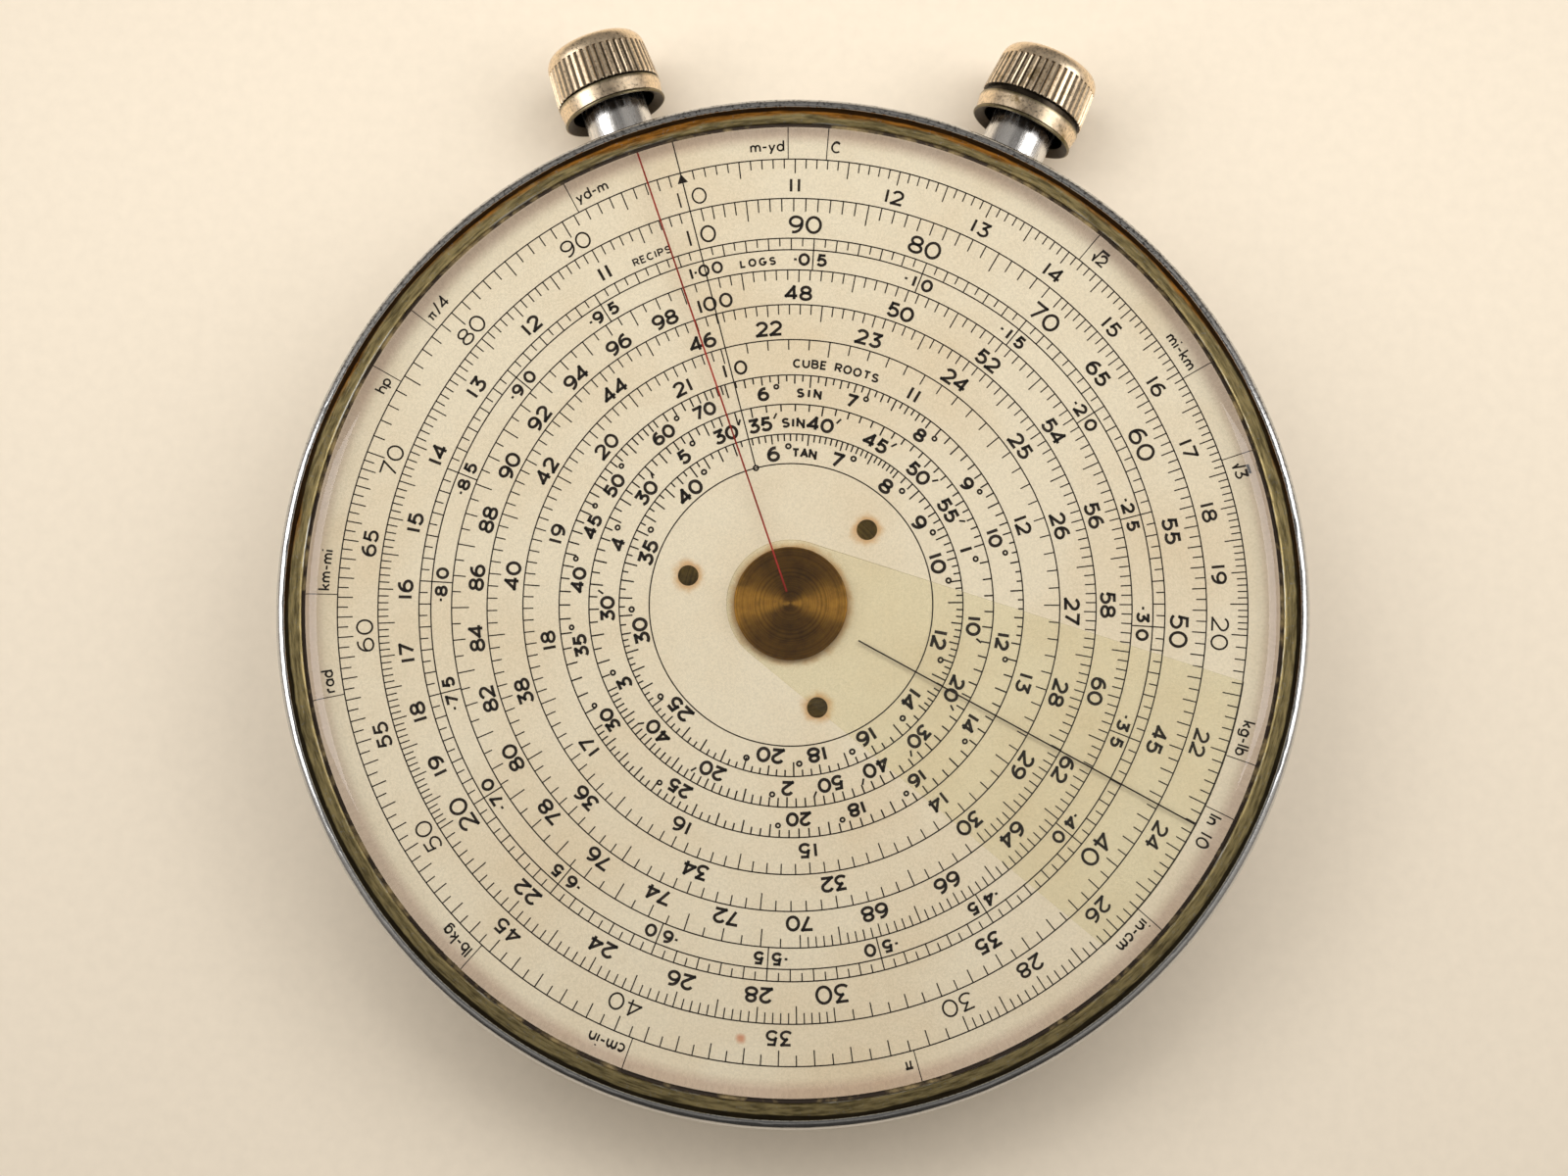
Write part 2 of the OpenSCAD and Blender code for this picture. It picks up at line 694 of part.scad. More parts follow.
// Winding knob: a hollow smooth collar with a bead round its rim, a groove, a fluted band and a rounded end
module knob(bearing, groove_w) {
    head_in = head_place(groove_w);
    flute_in = flute_place(groove_w);
    groove_r = knob_r - groove_d;
    flute_lean = atan(knob_swell / flute_l);
    color("lightgray") on_stem(bearing) difference() {
        rotate_extrude() polygon(concat(
            [[0, head_in], [hollow_r, head_in], [hollow_r, knob_rim], [bead_r, knob_rim]],
            [[bead_r, knob_rim + bead_l], [knob_rim_r, knob_rim + bead_l]],
            [[knob_r, groove_place], [groove_r, groove_place], [groove_r, flute_in], [knob_r, flute_in]],
            arc_points(knob_rim_r - dome_w, flute_end(groove_w), dome_w, dome_h, 0, 90),
            [[0, knob_end(groove_w)]]
        ));
        for (i = [0:flute_count - 1])
            rotate([0, 0, i * 360 / flute_count])
                translate([knob_r, 0, flute_in])
                    rotate([0, -flute_lean, 0])
                        translate([0, 0, -groove_w / 2])
                            cylinder(r = flute_r, h = flute_l + groove_w / 2, $fn = 24);
        rod(stem_seat_r + seat_fit, head_in - nick, head_in + head_bore + seat_fit);
    }
}

module dial_knob() {
    knob(-knob_bearing, dial_groove_w);
}

module cursor_knob() {
    knob(knob_bearing, cursor_groove_w);
}

case_body();
bezel();
crystal();
crystal_seat_ring();
foot_bush();
bridge();
bridge_pillars();
bridge_screws();
dial_stem_tube();
cursor_stem_tube();
dial();
dial_rivets();
dial_pipe();
dial_wheel();
dial_washer();
centre_arbor();
cursor_wheel();
wheel_collet();
cursor();
hub_cap();
dial_stem();
dial_pinion();
dial_stem_spring();
dial_knob();
cursor_stem();
cursor_pinion();
cursor_stem_spring();
cursor_knob();
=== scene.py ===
"""Dresses a packed circular slide rule: printed scales, turned and fluted pieces, finishes and a studio.

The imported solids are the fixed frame. Lengths in this script are millimetres until they go into a mesh or a
material, which are in metres. A bearing is an angle clockwise from +Y, the way the dial is read. A stem place
is a distance from the centre along a knob's own axis.
"""

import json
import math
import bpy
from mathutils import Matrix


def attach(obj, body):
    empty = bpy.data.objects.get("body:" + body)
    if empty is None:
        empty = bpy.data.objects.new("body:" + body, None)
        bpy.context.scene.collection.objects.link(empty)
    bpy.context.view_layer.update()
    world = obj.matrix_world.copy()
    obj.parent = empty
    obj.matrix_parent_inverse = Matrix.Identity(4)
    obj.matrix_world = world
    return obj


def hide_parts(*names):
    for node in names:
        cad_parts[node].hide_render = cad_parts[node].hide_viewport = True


bl_info = {
    "name": "Circular slide rule",
    "version": (1, 0, 0),
    "blender": (4, 5, 0),
    "location": "3D View > Sidebar > Slide Rule",
    "description": "Prints, turns and finishes the pieces of a watch-case slide rule",
    "category": "Object",
}

from dataclasses import dataclass

import bmesh
import bpy
import numpy as np
from bpy.props import FloatProperty, FloatVectorProperty, IntProperty, PointerProperty
from mathutils import Matrix, Vector

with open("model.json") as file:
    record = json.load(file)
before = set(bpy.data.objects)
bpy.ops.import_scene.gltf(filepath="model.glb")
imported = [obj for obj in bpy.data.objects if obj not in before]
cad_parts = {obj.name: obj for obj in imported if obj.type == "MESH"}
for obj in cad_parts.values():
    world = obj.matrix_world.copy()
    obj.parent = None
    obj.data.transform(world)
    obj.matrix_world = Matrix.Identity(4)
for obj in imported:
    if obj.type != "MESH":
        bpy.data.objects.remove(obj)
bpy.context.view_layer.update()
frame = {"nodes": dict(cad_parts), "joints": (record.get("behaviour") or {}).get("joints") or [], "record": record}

MM = 0.001


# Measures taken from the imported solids

# How near a solid's point lies to a face that it belongs to, and how far off its axis it has to lie to count
NEAR, OFF_AXIS = 0.05, 0.5


def node_points(node):
    """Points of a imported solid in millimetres, one row each."""
    mesh = frame["nodes"][node].data
    flat = np.empty(len(mesh.vertices) * 3, np.float32)
    mesh.vertices.foreach_get("co", flat)
    return flat.reshape(-1, 3).astype(float) / MM


def turned_size(node):
    """Least and greatest radius about the dial's axis, then lowest and highest point."""
    points = node_points(node)
    radius = np.hypot(points[:, 0], points[:, 1])
    return radius.min(), radius.max(), points[:, 2].min(), points[:, 2].max()


@dataclass
class Stem:
    """A knob's axis: its direction, the sideways direction at right angles to it, and its height."""

    joint: str

    def __post_init__(self):
        joint = next(j for j in frame["joints"] if j["name"] == self.joint)
        self.axis = np.array(joint["axis"], float)
        self.side = np.array([self.axis[1], -self.axis[0], 0.0])
        self.height = joint["pos_m"][2] / MM
        self.body = joint["child"]

    def around(self, node):
        """Stem place of each point of a solid, and its radius about this axis."""
        points = node_points(node) - [0, 0, self.height]
        place = points @ self.axis
        return place, np.linalg.norm(points - np.outer(place, self.axis), axis=1)

    def points(self, place, radius, turn):
        """Points at a stem place p, a radius r and a turn t: p along, r cos t sideways and r sin t up."""
        across = radius * np.cos(turn)
        up = radius * np.sin(turn) + self.height
        level = place[..., None] * self.axis + across[..., None] * self.side
        return level + up[..., None] * [0.0, 0.0, 1.0]


STEMS = {"dial": Stem("dial_knob_spin"), "cursor": Stem("cursor_knob_spin")}
LIP_R, BEZEL_R, BEZEL_FOOT, RIDGE_TOP = turned_size("bezel")
CRYSTAL_R, CRYSTAL_UNDER, CRYSTAL_TOP = turned_size("crystal")[1:]
DIAL_TOP = turned_size("dial")[3]
LEAF_HOLE, LEAF_REACH, LEAF_UNDER, LEAF_TOP = turned_size("cursor")
CAP_R, CAP_UNDER, CAP_TOP = turned_size("hub_cap")[1:]


# Values that a user may change


def linear(hex_colour):
    """An sRGB hex colour as linear red, green, blue and alpha."""
    value = np.array([int(hex_colour[i : i + 2], 16) for i in (1, 3, 5)]) / 255
    value = np.where(value <= 0.04045, value / 12.92, ((value + 0.055) / 1.055) ** 2.4)
    return (*value, 1.0)


def length(name, description, size):
    """A length property whose default is given in millimetres."""
    return FloatProperty(name=name, description=description, default=size * MM, unit="LENGTH", precision=5)


def point(name, description, *sizes):
    """A point property whose default is given in millimetres."""
    return FloatVectorProperty(
        name=name, description=description, default=[v * MM for v in sizes], unit="LENGTH", precision=5
    )


def amount(name, description, size, unit="NONE"):
    """A number that isn't less than nothing."""
    return FloatProperty(name=name, description=description, default=size, min=0, unit=unit)


def angle(name, description, degrees):
    """An angle property whose default is given in degrees."""
    return FloatProperty(name=name, description=description, default=math.radians(degrees), subtype="ANGLE")


def colour(name, description, hex_colour):
    """A colour property whose default is given as sRGB hex."""
    return FloatVectorProperty(
        name=name, description=description, default=linear(hex_colour)[:3], subtype="COLOR", min=0, max=1
    )


class PrintSizes(bpy.types.PropertyGroup):
    """Print on the dial, the cursor and the crystal."""

    ring_w: length("Circle line", "Width of the printed circles", 0.11)
    tick_w: length("Division", "Width of a division on the outer scales", 0.105)
    fine_w: length("Fine division", "Width of a division on the sine and tangent scales", 0.13)
    gauge_w: length("Gauge line", "Width of the gauge lines by the rim", 0.08)
    ink_rise: length("Ink", "How far the ink stands above the lacquer", 0.012)
    ink_sink: length("Ink foot", "How far the ink reaches into the lacquer", 0.01)
    ink_spread: amount("Ink spread", "Width of a printed stroke for each unit that is drawn", 1.2)
    hairline_w: length("Hairline", "Width of the cursor's hairline", 0.13)
    datum_w: length("Datum line", "Width of the red line under the crystal", 0.15)
    index_bearing: angle("Index", "Bearing of the dial's index at rest", -17.35)
    hairline_bearing: angle("Cursor", "Bearing of the hairline at rest", 115.75)
    datum_bearing: angle("Datum", "Bearing of the red line", -21.75)


class FormSizes(bpy.types.PropertyGroup):
    """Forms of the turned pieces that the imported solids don't state by themselves."""

    ridge_in: length("Ridge inset", "How far the bezel's ridge lies inside its edge", 0.82)
    ridge_round: length("Edge round", "Height of the bezel's rounded edge", 0.8)
    ridge_rise: length("Ridge rise", "How far the ridge stands above the lip", 0.25)
    lip_t: length("Lip", "Thickness of the bezel's lip at the glass", 0.25)
    lip_bevel: length("Lip bevel", "Width of the worn bevel on the lip", 0.09)
    crystal_gap: length("Glass gap", "Gap between the lip and the crystal's dome", 0.36)
    crystal_rim_t: length("Glass rim", "Thickness of the crystal's rim under the lip", 0.3)
    shoulder_w: length("Glass shoulder", "Width of the crystal's rounded shoulder", 1.6)
    leaf_root_r: length("Leaf root", "Radius of the cursor leaf round the centre", 5.4)
    leaf_flare: angle("Leaf flare", "Angle between a side of the cursor leaf and the hairline", 10.8)
    rivet_circle: length("Rivet circle", "Radius on which the dial's rivets lie", 8.97)
    rivet_head_r: length("Rivet head", "Radius of a dial rivet's head", 0.85)
    bead_l: length("Knob bead", "Length of the bead round the knob's rim", 0.25)
    bead_h: length("Bead height", "How far the bead stands out from the collar", 0.12)
    collar_l: length("Knob collar", "Length of the knob's smooth collar with its bead", 1.7)
    groove_d: length("Groove depth", "Depth of the groove beside the collar", 0.35)
    flute_l: length("Fluted length", "Length of the knob's flutes", 3.2)
    flute_r: length("Flute", "Radius of a flute", 0.15)
    flute_count: IntProperty(name="Flutes", description="Number of flutes on a knob", default=45, min=3)
    knob_swell: length("Knob swell", "How far the knob widens at its groove", 0.2)
    dome_h: length("Knob end", "Height of the round on the knob's end", 1.35)
    dome_w: length("Knob round", "Width of the round on the knob's end", 0.9)
    hollow_r: length("Knob hollow", "Radius of the hollow skirt", 3.75)
    mouth_l: length("Knob mouth", "Length of the flare at the mouth of the skirt", 0.5)
    mouth_wall: length("Mouth wall", "Thickness of the skirt at its mouth", 0.16)
    nick_depth: length("Nicks", "Depth of the deepest nick in the bezel's ridge", 0.05)


class FinishColours(bpy.types.PropertyGroup):
    """Colours of the finishes."""

    lacquer: colour("Lacquer", "Ivory lacquer of the dial", "#d7cab1")
    lacquer_age: colour("Aged lacquer", "Patches where the lacquer has browned", "#cdb999")
    # Round the hub this brown is painted shade at the cap's edge
    stain: colour("Stain", "Brown stain round the rivets and the hub", "#b3813d")
    foxing: colour("Foxing", "Small rusty spot in the lacquer", "#b4704a")
    ink: colour("Ink", "Print on the dial", "#1a120b")
    datum: colour("Datum line", "Red line under the crystal", "#741a10")
    celluloid: colour("Celluloid", "Tint of the yellowed cursor leaf", "#fffef0")
    celluloid_edge: colour("Celluloid edge", "Deeper tint at the edge of the leaf", "#e6dcc0")
    chrome: colour("Chrome", "Chromium plating", "#e9e7e5")
    worn_brass: colour("Worn brass", "Brown brass where the bezel's plating is gone", "#eba045")
    tired_plate: colour("Tired plating", "Olive film over what is left of the bezel's plating", "#d9c48a")
    # Also the colour of the painted highlights along the ridge and the lip's bevel
    fleck: colour("Plating flecks", "Bright flecks of plating left on the bezel's band", "#dcd9cc")
    dull_edge: colour("Dull edge", "Plating gone grey on the bezel's edge", "#cdcdcd")
    # This dark is the painted shadow of the gap between the lip and the glass, over real polish
    polish: colour("Old polish", "Dark polish packed between the lip and the glass", "#2e241b")
    deposit: colour("Deposit", "Tan crumbs of old polish by the lip", "#8d7a54")
    nickel: colour("Nickel", "Dull nickel of the knobs", "#fbe4c4")
    knob_brass: colour("Bare knob", "Brass showing through the nickel", "#8f7338")
    verdigris: colour("Verdigris", "Dark green on the edges of the knobs' collars", "#4d4a24")
    # Also the painted shade in the knobs' groove and hollows, and the painted reflection in the tubes' streaks
    grime: colour("Grime", "Dirt in grooves and flutes", "#1d1611")
    hub_brass: colour("Hub brass", "Tarnished brass of the centre cap", "#b58334")
    bronze: colour("Rivet bronze", "Browned rivet heads", "#796332")
    brass: colour("Brass", "Wheels and bushes inside", "#b88d47")
    steel: colour("Steel", "Stems and screws inside", "#8c8f94")
    fibre: colour("Fibre", "Vulcanised fibre washers", "#33291f")
    floor: colour("Floor", "Pale studio floor", "#e3d6c2")


class StageSizes(bpy.types.PropertyGroup):
    """Camera, lamps and floor."""

    camera_place: point("Camera", "Camera's place from the centre of the dial's face", 3.65, -14.93, 178.77)
    camera_aim: point("Aim", "Point of the dial's face on the camera's axis", -0.65, 1.36, 0)
    camera_roll: angle("Roll", "Turn of the camera about its own axis", 3.06)
    lens: amount("Lens", "Focal length on a 36 mm sensor", 48.92, "CAMERA")
    lamp_distance: length("Lamp distance", "Distance of the lamps from the centre", 190)
    lamp_size: length("Lamp size", "Width of a lamp's face", 110)
    lamp_power: amount("Lamp", "Power of each lamp", 0.14, "POWER")
    box_distance: length("Soft box distance", "Distance of the soft boxes from the centre", 300)
    box_size: length("Soft box size", "Width of a soft box's face", 170)
    box_power: amount("Soft box", "Power of each soft box", 0.25, "POWER")
    sky_strength: amount("Sky", "Strength of the light all round", 1.75)
    floor_size: length("Floor size", "Width of the floor", 1600)


# Surfaces


def grid_faces(rows, columns, wrap_rows=True, wrap_columns=False):
    """Quads between neighbouring points of a grid whose rows or columns may close on themselves."""
    row = np.arange(rows if wrap_rows else rows - 1)[:, None]
    column = np.arange(columns if wrap_columns else columns - 1)[None, :]
    next_row = (row + 1) % rows * columns
    next_column = (column + 1) % columns
    row = row * columns
    corners = row + column, row + next_column, next_row + next_column, next_row + column
    return np.stack(corners, axis=-1).reshape(-1, 4)


def enclosed_volume(points, faces):
    """Signed volume inside quads: the sum of the tetrahedra from the origin to each half of a quad."""
    a, b, c, d = (points[faces[:, i]] for i in range(4))
    return (a * (np.cross(b, c) + np.cross(c, d))).sum() / 6


def arc(centre, radii, start, stop, steps):
    """Points on an ellipse between two angles in degrees: centre + (rx cos t, ry sin t)."""
    t = np.radians(np.linspace(start, stop, steps + 1))
    return np.stack([centre[0] + radii[0] * np.cos(t), centre[1] + radii[1] * np.sin(t)], axis=1)


def path(*stretches):
    """One line of points through single points and arcs."""
    return np.vstack([np.atleast_2d(stretch) for stretch in stretches]).astype(float)


def eased(before, corner, after, radius, steps=4):
    """A corner rounded by a quadratic curve that leaves each side at the given distance from the corner."""
    corner = np.asarray(corner, float)
    start = np.asarray(before, float) - corner
    stop = np.asarray(after, float) - corner
    start *= radius / np.linalg.norm(start)
    stop *= radius / np.linalg.norm(stop)
    t = np.linspace(0, 1, steps + 1)[:, None]
    return corner + (1 - t) ** 2 * start + t**2 * stop


def turned(profile, count, centre=(0.0, 0.0)):
    """A profile of radius and height carried round an upright axis: x = r sin b, y = r cos b, z = h."""
    bearing = np.linspace(0, 2 * np.pi, count, endpoint=False)[:, None]
    radius, height = np.asarray(profile, float).T
    x = centre[0] + radius * np.sin(bearing)
    y = centre[1] + radius * np.cos(bearing)
    return np.stack([x, y, np.broadcast_to(height, x.shape)], axis=-1)


def joined(patches):
    """Points and faces of several patches as one pair of arrays."""
    counts = np.cumsum([0] + [len(points) for points, faces in patches])
    points = np.vstack([points for points, faces in patches])
    faces = np.vstack([faces + start for (points, faces), start in zip(patches, counts)])
    return points, faces


def outward(points, faces):
    """A closed patch whose faces all point out: they are turned over where they enclose a negative volume."""
    points = points.reshape(-1, 3)
    if enclosed_volume(points, faces) < 0:
        faces = faces[:, ::-1]
    return points, faces


def turned_patch(profile, count, centre=(0.0, 0.0)):
    """A closed turned solid, from a profile that starts and ends on its own axis."""
    points = turned(profile, count, centre)
    return outward(points, grid_faces(count, points.shape[1]))


# Points nearer to each other than this, in metres, are one point
WELD = 1e-7


def merge_points(mesh):
    """Make one point of those that lie together."""
    shape = bmesh.new()
    shape.from_mesh(mesh)
    bmesh.ops.remove_doubles(shape, verts=shape.verts, dist=WELD)
    shape.to_mesh(mesh)
    shape.free()


def make_piece(
    name, points, faces, finishes, body, slot, nodes=(), crease=35, weld=True, marks=None, parts=None
):
    """Put points and quads into a mesh that rides on a body, with its finishes and the nodes it stands for.

    Creases sharper than the given angle stay sharp, marks are values at each point for the finish to read,
    and parts gives the number of each face's finish.
    """
    mesh = bpy.data.meshes.new(name)
    mesh.vertices.add(len(points))
    mesh.vertices.foreach_set("co", (points * MM).astype(np.float32).ravel())
    mesh.loops.add(faces.size)
    mesh.loops.foreach_set("vertex_index", faces.astype(np.int32).ravel())
    mesh.polygons.add(len(faces))
    mesh.polygons.foreach_set("loop_start", np.arange(0, faces.size, 4, dtype=np.int32))
    if parts is not None:
        mesh.polygons.foreach_set("material_index", parts.astype(np.int32))
    for mark, values in (marks or {}).items():
        layer = mesh.attributes.new(mark, "FLOAT", "POINT")
        layer.data.foreach_set("value", values.astype(np.float32).ravel())
    mesh.update(calc_edges=True)
    if weld:
        merge_points(mesh)
    if mesh.validate():
        raise RuntimeError(f"{name} has faces that Blender had to repair")
    return settle(name, mesh, finishes, body, nodes, crease)


def settle(name, mesh, finishes, body, nodes, crease):
    """Shade a mesh, give it its finishes and hang it on its body."""
    mesh.shade_smooth()
    mesh.set_sharp_from_angle(angle=math.radians(crease))
    for finish in finishes:
        mesh.materials.append(finish)
    piece = bpy.data.objects.new(name, mesh)
    bpy.context.scene.collection.objects.link(piece)
    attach(piece, body)
    if nodes:
        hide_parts(*nodes)
    return piece


def smooth_node(name, node, finish, body, crease):
    """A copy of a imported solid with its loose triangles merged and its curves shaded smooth."""
    mesh = frame["nodes"][node].data.copy()
    mesh.materials.clear()
    merge_points(mesh)
    if "custom_normal" in mesh.attributes:
        mesh.attributes.remove(mesh.attributes["custom_normal"])
    return settle(name, mesh, [finish], body, [node], crease)


def finish_node(node, finish):
    """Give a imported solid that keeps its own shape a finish."""
    materials = frame["nodes"][node].data.materials
    materials.clear()
    materials.append(finish)


# Lettering: each sign is drawn once, one unit high, as the middle lines of its strokes


def oval(centre, radii):
    """A closed round stroke."""
    return arc(centre, radii, 0, 360, 20)[:-1]


# How far every sign is drawn out sideways
WIDEN = 1.05


def glyph(width, *strokes, loops=()):
    """A sign's width with its open and closed strokes, all drawn out sideways a little."""
    lines = [(stroke, False) for stroke in strokes] + [(loop, True) for loop in loops]
    return width * WIDEN, [(line * (WIDEN, 1), closed) for line, closed in lines]


# Strokes that several signs share
BOWL = oval((0.3, 0.33), (0.3, 0.33))
LETTER_P = path((0, 0), (0, 1), arc((0.4, 0.74), (0.3, 0.26), 90, -90, 8), (0, 0.48))
ARCH = path(arc((0.28, 0.38), (0.28, 0.28), 180, 0, 8), (0.56, 0))
SIX_TAIL = arc((0.52, 0.42), (0.51, 0.58), 185, 78, 8)

GLYPHS = {
    "0": glyph(0.84, loops=[oval((0.42, 0.5), (0.42, 0.5))]),
    "1": glyph(0.32, path((0.16, 0), (0.16, 1))),
    "2": glyph(0.78, path(arc((0.38, 0.7), (0.36, 0.3), 165, -35, 10), (0, 0), (0.78, 0))),
    "3": glyph(0.76, path((0.05, 1), (0.7, 1), (0.34, 0.58), arc((0.36, 0.3), (0.38, 0.3), 80, -150, 12))),
    "4": glyph(0.84, path((0.6, 0), (0.6, 1), (0, 0.28), (0.84, 0.28))),
    "5": glyph(0.76, path((0.7, 1), (0.18, 1), (0.1, 0.52), arc((0.36, 0.32), (0.38, 0.32), 128, -150, 12))),
    "6": glyph(0.78, SIX_TAIL, loops=[oval((0.38, 0.31), (0.37, 0.31))]),
    "7": glyph(0.74, path((0, 1), (0.74, 1), (0.24, 0))),
    "8": glyph(0.76, loops=[oval((0.38, 0.755), (0.32, 0.245)), oval((0.38, 0.26), (0.38, 0.26))]),
    "9": glyph(0.78, (0.78, 1) - SIX_TAIL, loops=[oval((0.4, 0.69), (0.37, 0.31))]),
    "A": glyph(0.84, path((0, 0), (0.42, 1), (0.84, 0)), path((0.15, 0.35), (0.69, 0.35))),
    "B": glyph(
        0.75,
        path((0, 0), (0, 1), arc((0.4, 0.77), (0.27, 0.23), 90, -90, 8), (0, 0.54)),
        path((0, 0.54), arc((0.42, 0.27), (0.33, 0.27), 90, -90, 8), (0, 0)),
    ),
    "C": glyph(0.8, arc((0.45, 0.5), (0.45, 0.5), 48, 312, 14)),
    "E": glyph(0.62, path((0.62, 1), (0, 1), (0, 0), (0.62, 0)), path((0, 0.52), (0.54, 0.52))),
    "G": glyph(0.88, path(arc((0.45, 0.5), (0.45, 0.5), 48, 345, 14), (0.88, 0.42), (0.5, 0.42))),
    "I": glyph(0.1, path((0.05, 0), (0.05, 1))),
    "L": glyph(0.6, path((0, 1), (0, 0), (0.6, 0))),
    "N": glyph(0.76, path((0, 0), (0, 1), (0.76, 0), (0.76, 1))),
    "O": glyph(0.9, loops=[oval((0.45, 0.5), (0.45, 0.5))]),
    "P": glyph(0.7, LETTER_P),
    "R": glyph(0.7, LETTER_P, path((0.34, 0.48), (0.7, 0))),
    "S": glyph(
        0.72,
        path(arc((0.36, 0.755), (0.33, 0.245), 30, 270, 10), arc((0.36, 0.255), (0.36, 0.255), 80, -150, 10)),
    ),
    "T": glyph(0.76, path((0, 1), (0.76, 1)), path((0.38, 1), (0.38, 0))),
    "U": glyph(0.76, path((0, 1), arc((0.38, 0.38), (0.38, 0.38), 180, 360, 10), (0.76, 1))),
    "a": glyph(0.6, path((0.6, 0.66), (0.6, 0)), loops=[BOWL]),
    "b": glyph(0.6, path((0, 1), (0, 0)), loops=[BOWL]),
    "c": glyph(0.55, arc((0.32, 0.33), (0.32, 0.33), 45, 315, 10)),
    "d": glyph(0.6, path((0.6, 1), (0.6, 0)), loops=[BOWL]),
    "g": glyph(0.6, path((0.6, 0.66), arc((0.3, -0.1), (0.3, 0.2), 0, -150, 8)), loops=[BOWL]),
    "h": glyph(0.56, path((0, 1), (0, 0)), ARCH),
    "i": glyph(0.08, path((0.04, 0.66), (0.04, 0)), path((0.04, 0.88), (0.04, 0.98))),
    "k": glyph(0.52, path((0, 1), (0, 0)), path((0.5, 0.66), (0, 0.28)), path((0.17, 0.42), (0.52, 0))),
    "l": glyph(0.08, path((0.04, 0), (0.04, 1))),
    "m": glyph(0.9, path((0, 0.66), (0, 0)), ARCH * (0.8, 1), ARCH * (0.8, 1) + (0.45, 0)),
    "n": glyph(0.56, path((0, 0.66), (0, 0)), ARCH),
    "p": glyph(0.6, path((0, 0.66), (0, -0.3)), loops=[BOWL]),
    "r": glyph(0.36, path((0, 0.66), (0, 0)), arc((0.25, 0.38), (0.25, 0.28), 180, 60, 6)),
    "y": glyph(0.55, path((0, 0.66), (0.27, 0)), path((0.55, 0.66), (0.1, -0.3))),
    "π": glyph(
        0.72, path((0, 0.64), (0.72, 0.64)), path((0.2, 0.64), (0.14, 0)), path((0.54, 0.64), (0.56, 0))
    ),
    "√": glyph(0.75, path((0.33, 0.45), (0.43, 0.52), (0.61, -0.05), (0.79, 1.2), (1.63, 1.2))),
    "/": glyph(0.45, path((0, -0.1), (0.45, 1.1))),
    "-": glyph(0.4, path((0, 0.42), (0.4, 0.42))),
    ".": glyph(0.12, path((0.06, 0.39), (0.06, 0.61))),
    "°": glyph(0.42, loops=[arc((0.5, 1.06), (0.18, 0.18), 0, 360, 12)[:-1]]),
    "′": glyph(0.3, path((0.0, 0.88), (0.26, 1.34))),
    " ": glyph(0.45),
}
# Marks that stand raised after a number, their stroke beside a digit's, and the gap between signs
RAISED_MARKS, RAISED_STROKE, GLYPH_GAP = "°′", 0.62, 0.28


def set_line(text, gap=GLYPH_GAP):
    """Centre of each sign along a line of text one unit high, and the line's width without raised marks."""
    places = []
    x = 0.0
    width = 0.0
    for sign in text:
        places.append((sign, x + GLYPHS[sign][0] / 2))
        x += GLYPHS[sign][0]
        width = width if sign in RAISED_MARKS else x
        x += gap
    return places, width


def centred(text, height):
    """Signs of a label with their distances along the arc from its middle, raised marks aside."""
    places, width = set_line(text)
    return [(sign, (x - width / 2) * height) for sign, x in places]


def beside(text, height, gap):
    """Signs of a label that starts at a gap to the right of a line, or ends at a negative gap to the left."""
    places, width = set_line(text)
    start = gap if gap > 0 else gap - width * height
    return [(sign, start + x * height) for sign, x in places]


def spread(text, height, width):
    """Signs of a word spaced evenly so that the word fills a width, from its middle."""
    bare = sum(GLYPHS[sign][0] for sign in text) * height
    gap = (width - bare) / (len(text) - 1) / height
    places, whole = set_line(text, gap)
    return [(sign, (x - whole / 2) * height) for sign, x in places]


def polar(bearing, radius):
    """Points of the dial's face at bearings and radii: x = r sin b, y = r cos b."""
    return np.stack([radius * np.sin(bearing), radius * np.cos(bearing)], axis=-1)


def sides(line, width, closed):
    """Left and right edges of a stroke: its middle line moved along its normals, stretched at bends."""
    ahead = np.roll(line, -1, axis=0) - line
    ahead /= np.linalg.norm(ahead, axis=1, keepdims=True)
    behind = np.roll(ahead, 1, axis=0)
    if not closed:
        ahead[-1] = ahead[-2]
        behind[0] = ahead[0]
        behind[-1] = ahead[-1]
    normal = ahead + behind
    normal = np.stack([-normal[:, 1], normal[:, 0]], axis=1)
    normal /= (normal**2).sum(axis=1, keepdims=True) / 2
    return line + normal * width / 2, line - normal * width / 2


# A bend whose cosine is less than this is a corner
CORNER = 0.5


def at_corners(line, width):
    """An open stroke cut at its corners, each part drawn on by half its width so that the corner is full."""
    ahead = np.diff(line, axis=0)
    ahead /= np.linalg.norm(ahead, axis=1, keepdims=True)
    corners = np.flatnonzero((ahead[1:] * ahead[:-1]).sum(axis=1) < CORNER) + 1
    stops = [0, *corners, len(line) - 1]
    parts = [line[first : last + 1].copy() for first, last in zip(stops, stops[1:])]
    for part, corner in zip(parts, corners):
        part[-1] += ahead[corner - 1] * width / 2
    for part, corner in zip(parts[1:], corners):
        part[0] -= ahead[corner] * width / 2
    return parts


def ink_bars(left, right, low, high, closed=False):
    """Closed bars of ink between pairs of edges: four points at each step, and caps on the open ends."""
    count, steps = left.shape[:2]
    heights = np.array([low, high, high, low])
    ring = np.stack([left, left, right, right], axis=2)
    points = np.concatenate([ring, np.broadcast_to(heights[:, None], (count, steps, 4, 1))], axis=3)
    faces = grid_faces(steps, 4, wrap_rows=closed, wrap_columns=True)
    if not closed:
        last = (steps - 1) * 4
        faces = np.vstack([faces, [[3, 2, 1, 0], [last, last + 1, last + 2, last + 3]]])
    one = points[0].reshape(-1, 3)
    if enclosed_volume(one - one.mean(axis=0), faces) < 0:
        faces = faces[:, ::-1]
    starts = np.arange(count)[:, None, None] * steps * 4
    return points.reshape(-1, 3), (faces + starts).reshape(-1, 4)


